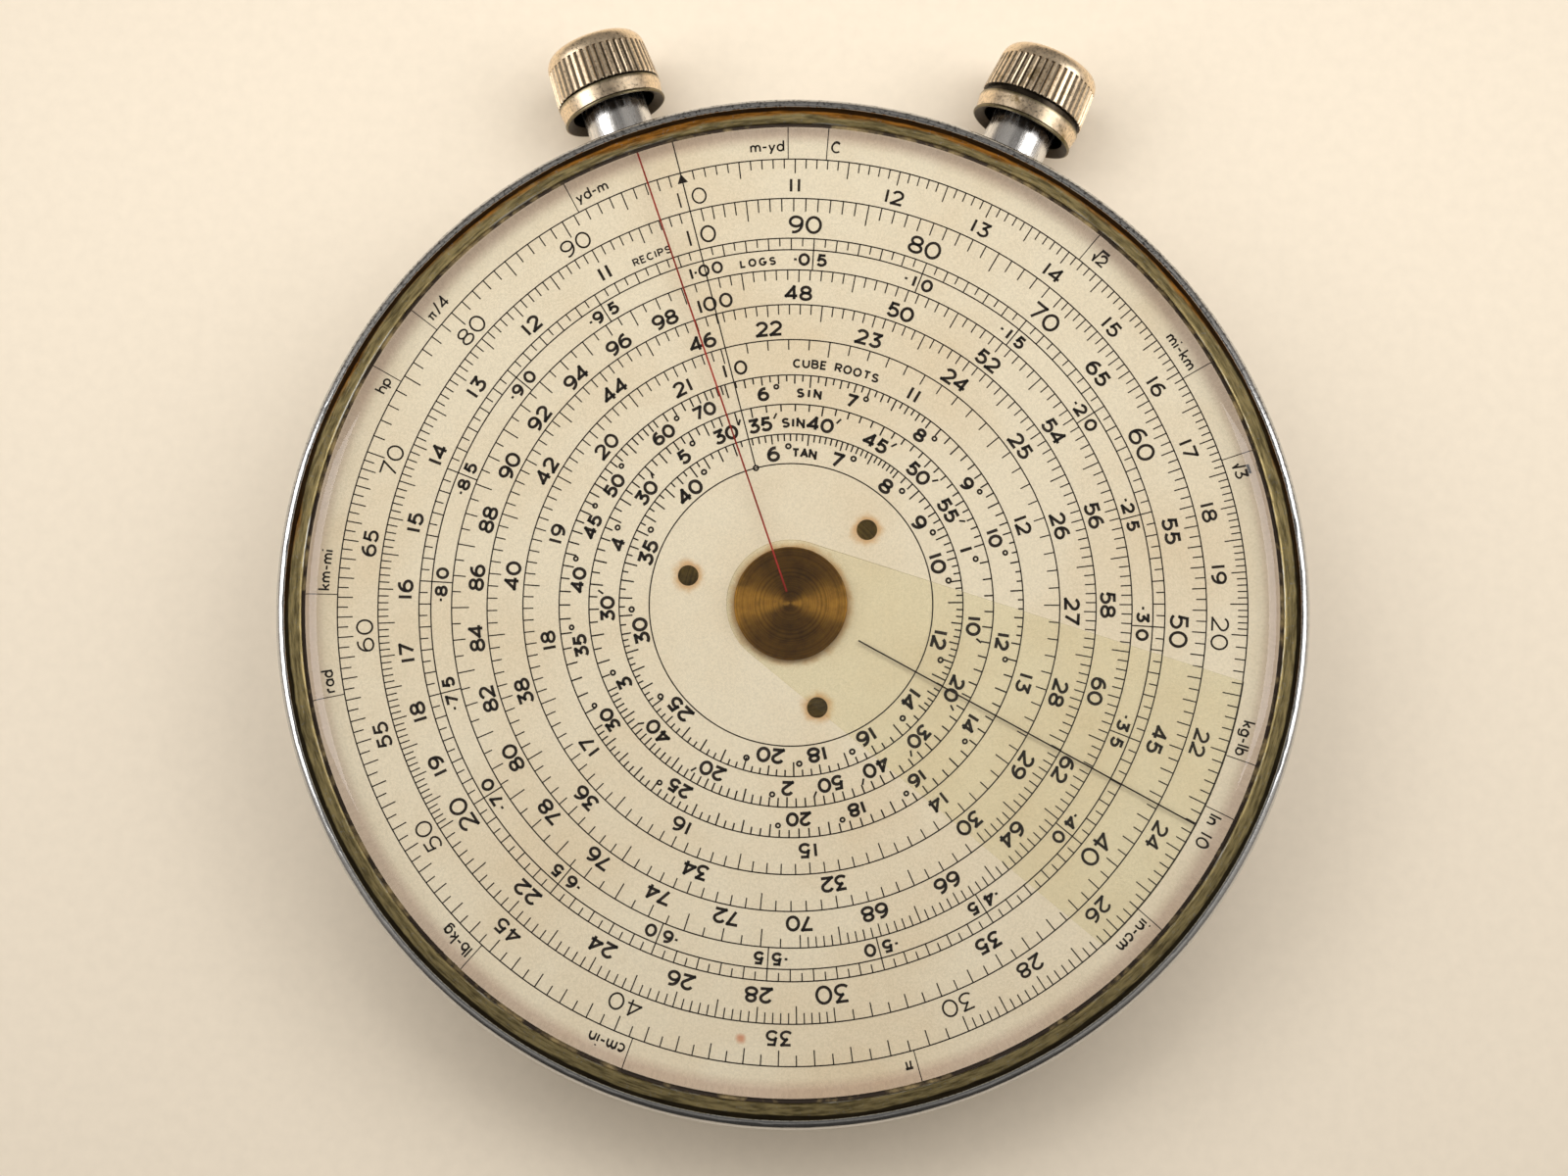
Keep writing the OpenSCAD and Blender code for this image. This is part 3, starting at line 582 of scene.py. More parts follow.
@dataclass
class Press:
    """Lays ink on a flat face: its bars reach from low to high."""

    low: float
    high: float
    spread: float = 1.0

    def line(self, points, width, closed=False):
        """One stroke along a line of points on the face."""
        left, right = sides(points, width, closed)
        return ink_bars(left[None], right[None], self.low, self.high, closed)

    def circle(self, radius, width, count=540):
        """A printed circle."""
        bearing = np.linspace(0, 2 * np.pi, count, endpoint=False)
        edges = [polar(bearing, radius + side * width / 2)[None] for side in (1, -1)]
        return ink_bars(*edges, self.low, self.high, closed=True)

    def divisions(self, bearing, outer, inner, width):
        """Straight radial strokes of one width, each from its outer to its inner radius."""
        ends = np.stack(np.broadcast_arrays(outer, inner), axis=-1) * np.ones((len(bearing), 1))
        middle = polar(bearing[:, None], ends)
        across = np.stack([np.cos(bearing), -np.sin(bearing)], axis=-1)[:, None] * width / 2
        return ink_bars(middle + across, middle - across, self.low, self.high)

    def signs(self, places, bearing, radius, height, stroke):
        """Signs standing along an arc, tops outward, each turned to its own bearing."""
        patches = []
        stroke *= self.spread
        for sign, along in places:
            width, strokes = GLYPHS[sign]
            pen = stroke * RAISED_STROKE if sign in RAISED_MARKS else stroke
            at = bearing + along / radius
            out = np.array([math.sin(at), math.cos(at)])
            over = np.array([math.cos(at), -math.sin(at)])
            for line, closed in strokes:
                x = (line[:, :1] - width / 2) * height
                y = (line[:, 1:] - 0.5) * height
                points = radius * out + x * over + y * out
                parts = [points] if closed else at_corners(points, pen)
                patches += [self.line(part, pen, closed) for part in parts]
        return patches


# Scales: each is a circle with divisions that hang inward from it

# Radii of the printed circles
RINGS = (11.91, 14.44, 16.99, 19.5, 22.55, 25.58, 28.58, 30.33, 31.33, 34.8, 38.24)


def common_turn(x):
    """Share of a turn of the number scale: the fraction of log x."""
    return np.log10(x) % 1


def reciprocal_turn(x):
    """The number scale read backwards."""
    return -np.log10(x) % 1


def cube_turn(x):
    """Cube roots of the number scale: three turns for one decade."""
    return 3 * np.log10(x) % 1


def sine_turn(degrees):
    """Sines of an angle in degrees against the number scale."""
    return np.log10(np.sin(np.radians(degrees))) % 1


def small_sine_turn(minutes):
    """Sines of an angle in minutes against the number scale."""
    return sine_turn(minutes / 60)


def tangent_turn(degrees):
    """Tangents of an angle in degrees against the number scale."""
    return np.log10(np.tan(np.radians(degrees))) % 1


# How near to a whole number counts as one, and the share of a turn beside the index that has no divisions
WHOLE, INDEX_CLEAR = 1e-6, 0.0003


@dataclass
class Scale:
    """One scale: its circle, its rule, where its labels stand, its runs of divisions and its labels.

    A run is the first value, the last, the step, the length of a division, then pairs of interval and length
    for those that differ. Labels are pairs of value and text. Where the round tens have a style of their own,
    tens gives its height and stroke.
    """

    ring: float
    turn: object
    label_r: float
    height: float
    stroke: float
    runs: tuple
    labels: tuple
    fine: bool = False
    tens: tuple = ()

    def divisions(self):
        """Shares of a turn and lengths of all divisions. The index line stands for the one at the start."""
        turns = []
        lengths = []
        for first, last, step, short, *longer in self.runs:
            value = first + step * np.arange(round((last - first) / step))
            size = np.full(len(value), short)
            for interval, long in longer:
                share = value / interval
                size[np.isclose(share, np.rint(share), rtol=0, atol=WHOLE)] = long
            turns.append(self.turn(value))
            lengths.append(size)
        turns = np.concatenate(turns)
        lengths = np.concatenate(lengths)
        clear = np.minimum(turns, 1 - turns) > INDEX_CLEAR
        return turns[clear], lengths[clear]


def plain(values, mark=""):
    """Labels that show their own value, with a mark after it."""
    return tuple((value, f"{value}{mark}") for value in values)


NUMBERS = (*range(11, 21), 22, 24, 26, 28, 30, 35, 40, 45, 50, 55, 60, 65, 70, 80, 90)
DEGREES = (6, 7, 8, 9, 10, 12, 14, 16, 18, 20, 25, 30, 35, 40)
MINUTES = (40, 45, 50, 55, 70, 80, 90, 100, 110, 140, 160, 210, 270, 330)
TWELFTH, SIXTH, THIRD, HALF = 1 / 12, 1 / 6, 1 / 3, 0.5

SCALES = {
    "numbers": Scale(
        RINGS[10], common_turn, 35.95, 1.09, 0.185,
        (
            (10, 20, 0.1, 0.82, (0.5, 1.47), (1, 1.24)),
            (20, 30, 0.2, 0.9, (1, 1.5), (2, 1.32)),
            (30, 70, 0.5, 0.9, (1, 1.3)),
            (70, 100, 1, 1.03, (5, 1.6)),
        ),
        plain(NUMBERS),
        tens=(1.32, 0.135),
    ),
    "reciprocals": Scale(
        RINGS[9], reciprocal_turn, 32.53, 1.1, 0.21,
        (
            (10, 20, 0.1, 0.88, (0.5, 1.41), (1, 1.23)),
            (20, 30, 0.2, 0.9, (1, 1.48), (2, 1.3)),
            (30, 70, 0.5, 0.86, (1, 1.17)),
            (70, 100, 1, 1.14, (5, 1.82), (10, 1.14)),
        ),
        plain(NUMBERS),
        tens=(1.34, 0.2),
    ),
    "cubes_outer": Scale(
        RINGS[6], cube_turn, 26.57, 1.08, 0.21,
        ((46.6, 70, 0.2, 0.88, (1, 1.47), (2, 1.06)), (70, 100, 0.5, 0.75, (1, 1.47), (2, 1.06))),
        plain(range(48, 100, 2)),
    ),
    "cubes_middle": Scale(
        RINGS[5], cube_turn, 23.57, 1.08, 0.21,
        ((21.6, 30, 0.1, 0.86, (0.5, 1.4), (1, 1.02)), (30, 46.6, 0.2, 0.86, (1, 1.4), (2, 1.02))),
        plain((*range(22, 31), *range(32, 47, 2))),
    ),
    "cubes_inner": Scale(
        RINGS[4], cube_turn, 20.6, 1.05, 0.2,
        ((10, 21.6, 0.1, 0.88, (0.5, 1.33), (1, 0.95)),),
        plain(range(11, 22)),
    ),
    "sines": Scale(
        RINGS[3], sine_turn, 18.0, 0.94, 0.22,
        (
            (5.75, 8, TWELFTH, 0.55, (SIXTH, 0.75), (HALF, 1.05), (1, 0.75)),
            (8, 10, SIXTH, 0.75, (HALF, 1.05), (1, 0.75)),
            (10, 12, SIXTH, 0.45, (HALF, 0.75), (1, 1.05), (2, 0.75)),
            (12, 20, THIRD, 0.75, (1, 1.05), (2, 0.75)),
            (20, 30, THIRD, 0.62, (1, 1.05), (5, 0.75)),
            (30, 50, 1, 0.95, (5, 0.75)),
            (50, 60, 1, 0.8, (5, 1.2), (10, 0.75)),
            (60, 82, 2, 0.8, (20, 1.2), (60, 0.75)),
        ),
        plain((*DEGREES, 45, 50, 60), "°") + ((70, "70"),),
        fine=True,
    ),
    "small_sines": Scale(
        RINGS[2], small_sine_turn, 15.43, 1.0, 0.22,
        (
            (35, 60, 1, 0.6, (5, 0.85)),
            (60, 120, 2, 0.75, (10, 0.85)),
            (120, 180, 2, 0.75, (10, 1.1), (20, 0.85)),
            (180, 345, 5, 0.7, (10, 1.1), (30, 0.85)),
        ),
        tuple((minutes, f"{minutes % 60 or 60}′") for minutes in MINUTES)
        + tuple((60 * degrees, f"{degrees}°") for degrees in range(1, 6))
        + ((35.4, "35′"),),
        fine=True,
    ),
    "tangents": Scale(
        RINGS[1], tangent_turn, 12.8, 1.05, 0.23,
        (
            (5.75, 8, TWELFTH, 0.6, (HALF, 0.95), (1, 0.8)),
            (8, 10, SIXTH, 0.65, (HALF, 1.1), (1, 0.75)),
            (10, 14, SIXTH, 0.55, (HALF, 0.9), (1, 1.25), (2, 0.8)),
            (14, 20, THIRD, 0.55, (1, 1.2), (2, 0.8)),
            (20, 30, THIRD, 0.5, (1, 1.1), (5, 0.8)),
            (30, 45, HALF, 0.5, (1, 1.1), (5, 0.8)),
        ),
        plain(DEGREES, "°"),
        fine=True,
    ),
}

# Labels that the index line passes through: signs with their distances from it, radius, height and stroke
INDEX_LABELS = (
    ((("1", -0.66), ("0", 1.08)), 35.95, 1.3, 0.12),
    ((("1", -0.65), ("0", 1.01)), 32.53, 1.34, 0.15),
    ((("1", -1.23), (".", -0.85), ("0", -0.12), ("0", 1.05)), 29.5, 0.87, 0.17),
    ((("1", -1.23), ("0", -0.33), ("0", 1.07)), 26.57, 1.08, 0.18),
    ((("1", -0.52), ("0", 0.86)), 20.6, 1.05, 0.17),
)

# Names of the scales: first and last bearing from the index, radius, height and stroke
WORDS = (
    ("RECIPS", -10.3, -4.35, 32.15, 0.56, 0.11),
    ("LOGS", 6.0, 11.7, 29.4, 0.56, 0.14),
    ("CUBE ROOTS", 15.05, 35.4, 20.5, 0.62, 0.14),
    ("SIN", 16.2, 22.4, 17.97, 0.62, 0.17),
    ("SIN", 11.8, 18.4, 15.4, 0.66, 0.17),
    ("TAN", 15.1, 23.75, 12.83, 0.62, 0.17),
)

# Gauge marks by the rim: the number each stands at, its label, and the side of the line that the label is on
GAUGES = (
    (0.9144, "yd-m", 1), (1.0936, "m-yd", -1), (1.1284, "C", 1), (math.sqrt(2), "√2", 1),
    (1.6093, "mi-km", -1), (math.sqrt(3), "√3", 1), (2.2046, "kg-lb", -1), (2.3026, "ln 10", 1),
    (2.54, "in-cm", 1), (math.pi, "π", 1), (3.937, "cm-in", 1), (4.536, "lb-kg", 1), (5.73, "rad", 1),
    (6.214, "km-mi", 1), (7.46, "hp", -1), (math.pi / 4, "π/4", 1),
)
GAUGE_LABEL_R, GAUGE_LABEL_H, GAUGE_STROKE, GAUGE_GAP = 39.4, 0.82, 0.13, 0.4

# Logarithms: rungs in a turn and length of a half rung, then the labels' size and where their signs stand
LOG_STEPS, LOG_HALF_RUNG, LOG_LABEL_R, LOG_LABEL_H, LOG_STROKE = 200, 0.7, 29.5, 0.87, 0.2
LOG_DOT, LOG_DIGIT, LOG_ONE = -1.5, 0.75, 0.35

# Arrowhead under the index, and the small ring at the foot of its line
ARROW_W, ARROW_H, ARROW_GAP, ARROW_TIP, ARROW_ROWS = 0.9, 0.8, 0.1, 0.01, 6
INDEX_RING_R, INDEX_RING_W = 0.2, 0.15

# Bearing in degrees and radius of the rusty spot in the lacquer
FOXING_BEARING, FOXING_R = 183.5, 36.2


def print_circles(press, sizes, index):
    """Circles, gauge lines, the index line with its arrowhead, and the small ring at its foot."""
    width = sizes.ring_w / MM
    patches = [press.circle(radius, width) for radius in RINGS]
    bearings = index + 2 * np.pi * common_turn(np.array([value for value, text, side in GAUGES]))
    patches.append(press.divisions(bearings, LIP_R, RINGS[10], sizes.gauge_w / MM))
    patches.append(press.divisions(np.array([index]), LIP_R, RINGS[0] + INDEX_RING_R, width))
    rows = np.linspace(0, 1, ARROW_ROWS)
    middle = polar(index, RINGS[10] - ARROW_GAP - rows * ARROW_H)
    across = np.array([math.cos(index), -math.sin(index)]) * (ARROW_TIP + rows[:, None] * ARROW_W / 2)
    patches.append(ink_bars((middle + across)[None], (middle - across)[None], press.low, press.high))
    foot = polar(index, np.array([RINGS[0]]))[0]
    patches.append(press.line(oval(foot, (INDEX_RING_R, INDEX_RING_R)), INDEX_RING_W, closed=True))
    return patches


def print_divisions(press, sizes, index):
    """Divisions of every scale, and the ladder of the logarithms with a longer line at each twentieth."""
    patches = []
    for scale in SCALES.values():
        turns, lengths = scale.divisions()
        width = (sizes.fine_w if scale.fine else sizes.tick_w) / MM
        patches.append(press.divisions(index + 2 * np.pi * turns, scale.ring, scale.ring - lengths, width))
    step = np.arange(1, LOG_STEPS)
    foot = np.where(step % 2, RINGS[8] - LOG_HALF_RUNG, RINGS[7])
    foot = np.where(step % 10, foot, RINGS[6])
    bearings = index + 2 * np.pi * step / LOG_STEPS
    patches.append(press.divisions(bearings, RINGS[8], foot, sizes.tick_w / MM))
    return patches


def print_numerals(press, index):
    """Labels of every scale, the logarithms' labels either side of their lines, and those at the index."""
    patches = []
    for scale in SCALES.values():
        for value, text in scale.labels:
            at = index + 2 * np.pi * scale.turn(value)
            style = scale.height, scale.stroke
            if scale.tens and value >= 20 and value % 10 == 0:
                style = scale.tens
            patches += press.signs(centred(text, style[0]), at, scale.label_r, *style)
    for twentieth in range(1, 20):
        tens, ones = divmod(5 * twentieth, 10)
        shift = LOG_ONE if tens == 1 else 0
        places = ((".", LOG_DOT + shift), (str(tens), shift - LOG_DIGIT), (str(ones), LOG_DIGIT))
        at = index + 2 * np.pi * twentieth / 20
        patches += press.signs(places, at, LOG_LABEL_R, LOG_LABEL_H, LOG_STROKE)
    for places, radius, height, stroke in INDEX_LABELS:
        patches += press.signs(places, index, radius, height, stroke)
    return patches


def print_words(press, index):
    """Names of the scales and labels of the gauge marks."""
    patches = []
    for text, first, last, radius, height, stroke in WORDS:
        middle = math.radians((first + last) / 2)
        width = math.radians(last - first) * radius
        patches += press.signs(spread(text, height, width), index + middle, radius, height, stroke)
    for value, text, side in GAUGES:
        at = index + 2 * np.pi * common_turn(value)
        places = beside(text, GAUGE_LABEL_H, side * GAUGE_GAP)
        patches += press.signs(places, at, GAUGE_LABEL_R, GAUGE_LABEL_H, GAUGE_STROKE)
    return patches


# Finishes


def add(tree, kind, inputs=(), out=0, stops=(), **settings):
    """Add a node with its settings and links, and give one of its outputs.

    Inputs fill the sockets in order as a list, or by name or number as a dictionary, each with a value or
    with the socket that feeds it.
    """
    node = tree.nodes.new(f"ShaderNode{kind}")
    for key, value in settings.items():
        setattr(node, key, value)
    for key, value in inputs.items() if isinstance(inputs, dict) else enumerate(inputs):
        if isinstance(value, bpy.types.NodeSocket):
            tree.links.new(value, node.inputs[key])
        else:
            node.inputs[key].default_value = value
    for step, (place, value) in enumerate(stops):
        elements = node.color_ramp.elements
        element = elements[step] if step < len(elements) else elements.new(1)
        element.position = place
        element.color = value
    return node.outputs[out] if len(node.outputs) else None


# Sockets of a Mix node that mixes colours
MIX_A, MIX_B, MIX_OUT = 6, 7, 2


def new_finish(name):
    """An empty material with its tree and the object's own coordinates."""
    material = bpy.data.materials.new(name)
    material.use_nodes = True
    tree = material.node_tree
    tree.nodes.clear()
    return material, tree, add(tree, "TexCoord", out="Object")


def per(size):
    """Scale of a noise pattern whose patches are about this many millimetres across."""
    return 1 / (size * MM)


def grey(level):
    """A grey colour for a ramp that carries a number."""
    return (level, level, level, 1.0)


def full(shade, share=1.0):
    """A colour property, or a darker share of it, with its alpha."""
    return (*(share * v for v in shade), 1.0)


def close(material, tree, shader):
    """Send a shader to the surface."""
    add(tree, "OutputMaterial", {"Surface": shader})
    return material


def metal(material, tree, tone, rough, relief, strength, depth, more=None):
    """Close a metal finish, dented by a pattern whose depth is in millimetres."""
    dents = add(tree, "Bump", {"Height": relief, "Strength": strength, "Distance": depth * MM})
    inputs = {"Base Color": tone, "Metallic": 1.0, "Roughness": rough, "Normal": dents, **(more or {})}
    return close(material, tree, add(tree, "BsdfPrincipled", inputs))


def pane(material, tree, glass):
    """Close a clear finish: the eye sees the glass, and light that falls on what lies under it passes."""
    clear = add(tree, "BsdfTransparent")
    for ray in ("Is Diffuse Ray", "Is Shadow Ray"):
        glass = add(tree, "MixShader", [add(tree, "LightPath", out=ray), glass, clear])
    return close(material, tree, glass)


def flattened(tree, coords):
    """Coordinates without their height."""
    return add(tree, "VectorMath", [coords, (1, 1, 0)], operation="MULTIPLY")


def radius_of(tree, coords):
    """Distance from the dial's axis in metres: the length of the flattened coordinates."""
    return add(tree, "VectorMath", [flattened(tree, coords)], "Value", operation="LENGTH")


# Brown in the lacquer, in millimetres: how far its edge wanders, where it fades and ends, and how far inside
# the hub's edge it starts. Round the rivets it is stain, round the hub painted shade.
STAIN_WANDER, STAIN_FULL, STAIN_END, HUB_SHADE_IN = 1.1, 0.2, 1.1, 0.9
FOXING_END = 0.3


def lacquered_dial(colours, rivets, hub_r):
    """Ivory lacquer on a metal plate: matt, finely speckled, browned in patches, stained by the rivets in it.

    The brown's strength falls with the distance to the nearest rivet or to the hub, less a ragged wander.
    Round the hub the brown is painted shade at the cap's edge.
    """
    material, tree, coords = new_finish("ivory_lacquer")
    cloud = add(tree, "TexNoise", {"Vector": coords, "Scale": per(14), "Detail": 4, "Roughness": 0.6})
    speck = add(tree, "TexNoise", {"Vector": coords, "Scale": per(0.16), "Detail": 3})
    ragged = add(tree, "TexNoise", {"Vector": coords, "Scale": per(0.9), "Detail": 5, "Roughness": 0.65})
    wander = add(tree, "Math", [ragged, STAIN_WANDER * MM], operation="MULTIPLY")
    # Round the hub the brown is painted shade at the cap's edge, measured from inside it
    nearest = add(tree, "Math", [radius_of(tree, coords), (hub_r - HUB_SHADE_IN) * MM], operation="SUBTRACT")
    for x, y in rivets:
        place = (x * MM, y * MM, DIAL_TOP * MM)
        away = add(tree, "VectorMath", [coords, place], "Value", operation="DISTANCE")
        nearest = add(tree, "Math", [nearest, away], operation="MINIMUM")
    nearest = add(tree, "Math", [nearest, wander], operation="SUBTRACT")
    fade = [nearest, STAIN_FULL * MM, STAIN_END * MM, 0.75, 0.0]
    spot = (*polar(math.radians(FOXING_BEARING), FOXING_R) * MM, DIAL_TOP * MM)
    away = add(tree, "VectorMath", [coords, spot], "Value", operation="DISTANCE")
    away = add(tree, "Math", [wander, -0.4, away], operation="MULTIPLY_ADD")
    coats = (
        (add(tree, "MapRange", [cloud, 0.42, 0.85]), full(colours.lacquer_age), "MIX"),
        (1.0, add(tree, "ValToRGB", [speck], stops=[(0.3, grey(0.86)), (0.62, grey(1.0))]), "MULTIPLY"),
        (add(tree, "MapRange", fade, interpolation_type="SMOOTHSTEP"), full(colours.stain), "MIX"),
        (add(tree, "MapRange", [away, 0.0, FOXING_END * MM, 0.8, 0.0]), full(colours.foxing), "MIX"),
    )
    tone = full(colours.lacquer)
    for share, coat, blend in coats:
        layers = {0: share, MIX_A: tone, MIX_B: coat}
        tone = add(tree, "Mix", layers, MIX_OUT, data_type="RGBA", blend_type=blend)
    grain = add(tree, "Bump", {"Height": speck, "Strength": 0.08, "Distance": 0.04 * MM})
    lacquer = {"Base Color": tone, "Roughness": 0.62, "Normal": grain}
    return close(material, tree, add(tree, "BsdfPrincipled", lacquer))


def printing_ink(name, shade):
    """Oil printing ink: near black, matt, a little thinner in places so that it browns over the ivory."""
    material, tree, coords = new_finish(name)
    cloud = add(tree, "TexNoise", {"Vector": coords, "Scale": per(3), "Detail": 4})
    pale = tuple(min(1.0, 1.8 * v + 0.01) for v in shade)
    tone = add(tree, "ValToRGB", [cloud], stops=[(0.45, full(shade)), (0.8, full(pale))])
    ink = {"Base Color": tone, "Roughness": 0.85, "Specular IOR Level": 0.2}
    return close(material, tree, add(tree, "BsdfPrincipled", ink))


def yellowed_celluloid(name, shade):
    """Clear celluloid sheet gone yellow: polished, tinting what lies under it, a little more in places."""
    material, tree, coords = new_finish(name)
    haze = add(tree, "TexNoise", {"Vector": coords, "Scale": per(9), "Detail": 3})
    tone = add(tree, "ValToRGB", [haze], stops=[(0.3, full(shade, 0.97)), (0.7, full(shade))])
    sheet = {"Base Color": tone, "Roughness": 0.03, "IOR": 1.5, "Transmission Weight": 1.0}
    return pane(material, tree, add(tree, "BsdfPrincipled", sheet))


def clear_crystal(flat_r, dome_r):
    """Moulded watch crystal: polished, clear over the dial, greyed on its rounded shoulder as painted shade."""
    material, tree, coords = new_finish("watch_crystal")
    smear = add(tree, "TexNoise", {"Vector": coords, "Scale": per(9), "Detail": 4})
    rough = add(tree, "MapRange", [smear, 0.5, 1.0, 0.0, 0.02])
    shoulder = add(tree, "MapRange", [radius_of(tree, coords), flat_r * MM, (flat_r + dome_r) / 2 * MM])
    # Painted shade: the glass greys towards its rounded shoulder, for the darker band that the shoulder shows.
    shoulder_shade_tints = {0: shoulder, MIX_A: linear("#fbfbf8"), MIX_B: linear("#e6dbd9")}
    tint = add(tree, "Mix", shoulder_shade_tints, MIX_OUT, data_type="RGBA")
    glass = {"Base Color": tint, "Roughness": rough, "IOR": 1.49, "Transmission Weight": 1.0}
    return pane(material, tree, add(tree, "BsdfPrincipled", glass))


def chromed_brass(name, shade, grime):
    """Chromium plate on brass: a bright cool mirror, softened by fine scratches, pitted with dark specks.

    Real scratches are too fine to show, so these are drawn as coarse as they need to be.
    """
    material, tree, coords = new_finish(name)
    fine = add(tree, "TexNoise", {"Vector": coords, "Scale": per(0.7), "Detail": 6, "Roughness": 0.7})
    pits = add(tree, "TexVoronoi", {"Vector": coords, "Scale": per(0.8), "Randomness": 1.0}, "Distance")
    pit = add(tree, "MapRange", [pits, 0.06, 0.16, 1.0, 0.0])
    pit = add(tree, "Math", [pit, add(tree, "MapRange", [fine, 0.48, 0.6])], operation="MULTIPLY")
    tone = add(tree, "Mix", {0: pit, MIX_A: full(shade), MIX_B: full(grime)}, MIX_OUT, data_type="RGBA")
    rough = add(tree, "MapRange", [fine, 0.3, 0.75, 0.08, 0.28])
    return metal(material, tree, tone, rough, fine, 0.12, 0.06)


def streaked_tube(name, colours, turn):
    """Chromed tube: a mirror with dark streaks and pits drawn out along the stem, the streaks a painted
    reflection.

    The coordinates are turned back until the stem lies along Y, which is then shortened.
    """
    material, tree, coords = new_finish(name)
    along = {"Vector": coords, "Rotation": (0, 0, turn), "Scale": (1, 6, 1)}
    along = add(tree, "Mapping", along, vector_type="TEXTURE")
    streak = add(tree, "TexNoise", {"Vector": along, "Scale": per(0.55), "Detail": 6, "Roughness": 0.7})
    # Painted reflection: dark streaks along the stem stand in for dark surroundings mirrored in the chrome
    dark_reflection_streaks = add(tree, "MapRange", [streak, 0.57, 0.64, 0.0, 0.93])
    shades = {0: dark_reflection_streaks, MIX_A: full(colours.chrome), MIX_B: full(colours.grime)}
    tone = add(tree, "Mix", shades, MIX_OUT, data_type="RGBA")
    rough = add(tree, "MapRange", [streak, 0.35, 0.65, 0.1, 0.4])
    return metal(material, tree, tone, rough, streak, 0.3, 0.1)


def drawn_round(tree, way, radius, reach):
    """Coordinates that draw a pattern out round the dial's axis: direction times a reach, and the radius."""
    circle = add(tree, "VectorMath", {0: way, "Scale": reach * MM}, operation="SCALE")
    rise = add(tree, "CombineXYZ", {"Z": radius})
    return add(tree, "VectorMath", [circle, rise], operation="ADD")


def worn_bezel(colours, lip_r, ridge_r):
    """Chromed bezel rubbed through: olive film by the lip, brown brass below the ridge, dull chrome outside.

    The share across the band is 0 at the lip and 1 at the ridge. Patches move the border of olive and brown,
    which lies further out towards the foot of the dial. There the band is also darker: partly a darker film,
    partly painted shade for the weaker light. The bright line along the ridge is a painted highlight, and the
    one along the lip's bevel is partly plating left and partly painted highlight.
    """
    material, tree, coords = new_finish("worn_chromed_bezel")
    radius = radius_of(tree, coords)
    way = add(tree, "VectorMath", [flattened(tree, coords)], operation="NORMALIZE")
    head = add(tree, "SeparateXYZ", [way], "Y")
    swept = drawn_round(tree, way, radius, 5)
    patch = add(tree, "TexNoise", {"Vector": swept, "Scale": per(0.8), "Detail": 6, "Roughness": 0.65})
    streak = add(tree, "TexNoise", {"Vector": swept, "Scale": per(0.22), "Detail": 4, "Roughness": 0.6})
    fine = add(tree, "TexNoise", {"Vector": coords, "Scale": per(0.28), "Detail": 4, "Roughness": 0.7})
    broad = add(tree, "TexNoise", {"Vector": coords, "Scale": per(15), "Detail": 3, "Roughness": 0.6})
    across = add(tree, "MapRange", [radius, lip_r * MM, ridge_r * MM], clamp=False)
    ragged = across
    for pattern, reach in ((patch, 0.8), (broad, 1.2), (head, 0.45)):
        ragged = add(tree, "Math", [pattern, reach, ragged], operation="MULTIPLY_ADD")
    mottle = add(tree, "MapRange", [fine, 0.52, 0.6, 0.0, 0.75])
    mottle = add(tree, "Math", [mottle, add(tree, "MapRange", [head, -0.1, 0.7, 0.2])], operation="MULTIPLY")
    shades = {0: mottle, MIX_A: full(colours.dull_edge), MIX_B: full(colours.grime)}
    edge = add(tree, "Mix", shades, MIX_OUT, data_type="RGBA")
    foot = add(tree, "Math", [patch, 0.3, across], operation="MULTIPLY_ADD")
    foot = add(tree, "MapRange", [foot, 0.82, 0.9, 0.0, 0.93])
    foot = add(tree, "Math", [foot, add(tree, "MapRange", [across, 0.985, 0.965])], operation="MULTIPLY")
    # Plating left and painted highlight: a bright line along the lip's bevel, broken into dashes by the patches
    bevel = add(tree, "MapRange", [across, 0.05, 0.075, 1.0, 0.0])
    bevel = add(tree, "Math", [bevel, add(tree, "MapRange", [patch, 0.52, 0.6])], operation="MULTIPLY")
    # Painted highlight: a bright line along the ridge in the colour of the flecks, broken by the fine pattern
    ridge_highlight = add(tree, "Math", [across, 0.5], operation="MULTIPLY")
    line = [(0.488, grey(0.0)), (0.494, grey(1.0)), (0.506, grey(1.0)), (0.514, grey(0.0))]
    ridge_highlight = add(tree, "ValToRGB", [ridge_highlight], stops=line)
    ridge_highlight = add(tree, "Math", [ridge_highlight, add(tree, "MapRange", [fine, 0.58, 0.48])], operation="MULTIPLY")
    coats = (
        (add(tree, "MapRange", [ragged, 1.82, 2.02]), full(colours.worn_brass), "MIX"),
        (add(tree, "MapRange", [fine, 0.58, 0.7, 0.0, 0.7]), full(colours.fleck), "MIX"),
        (0.9, add(tree, "ValToRGB", [streak], stops=[(0.36, grey(0.3)), (0.6, grey(1.0))]), "MULTIPLY"),
        # Painted shade with a darker film: the band darkens towards the foot of the dial, where less light falls
        (1.0, add(tree, "MapRange", [head, -0.9, 0.3, 0.6]), "MULTIPLY"),
        (add(tree, "MapRange", [across, 0.99, 1.02]), edge, "MIX"),
        (foot, full(colours.grime), "MIX"),
        (bevel, full(colours.fleck), "MIX"),
        (ridge_highlight, full(colours.fleck), "MIX"),
    )
    tone = full(colours.tired_plate)
    for share, coat, blend in coats:
        layers = {0: share, MIX_A: tone, MIX_B: coat}
        tone = add(tree, "Mix", layers, MIX_OUT, data_type="RGBA", blend_type=blend)
    rough = add(tree, "MapRange", [across, 1.0, 1.06, 0.42, 0.16])
    return metal(material, tree, tone, rough, streak, 0.25, 0.06)


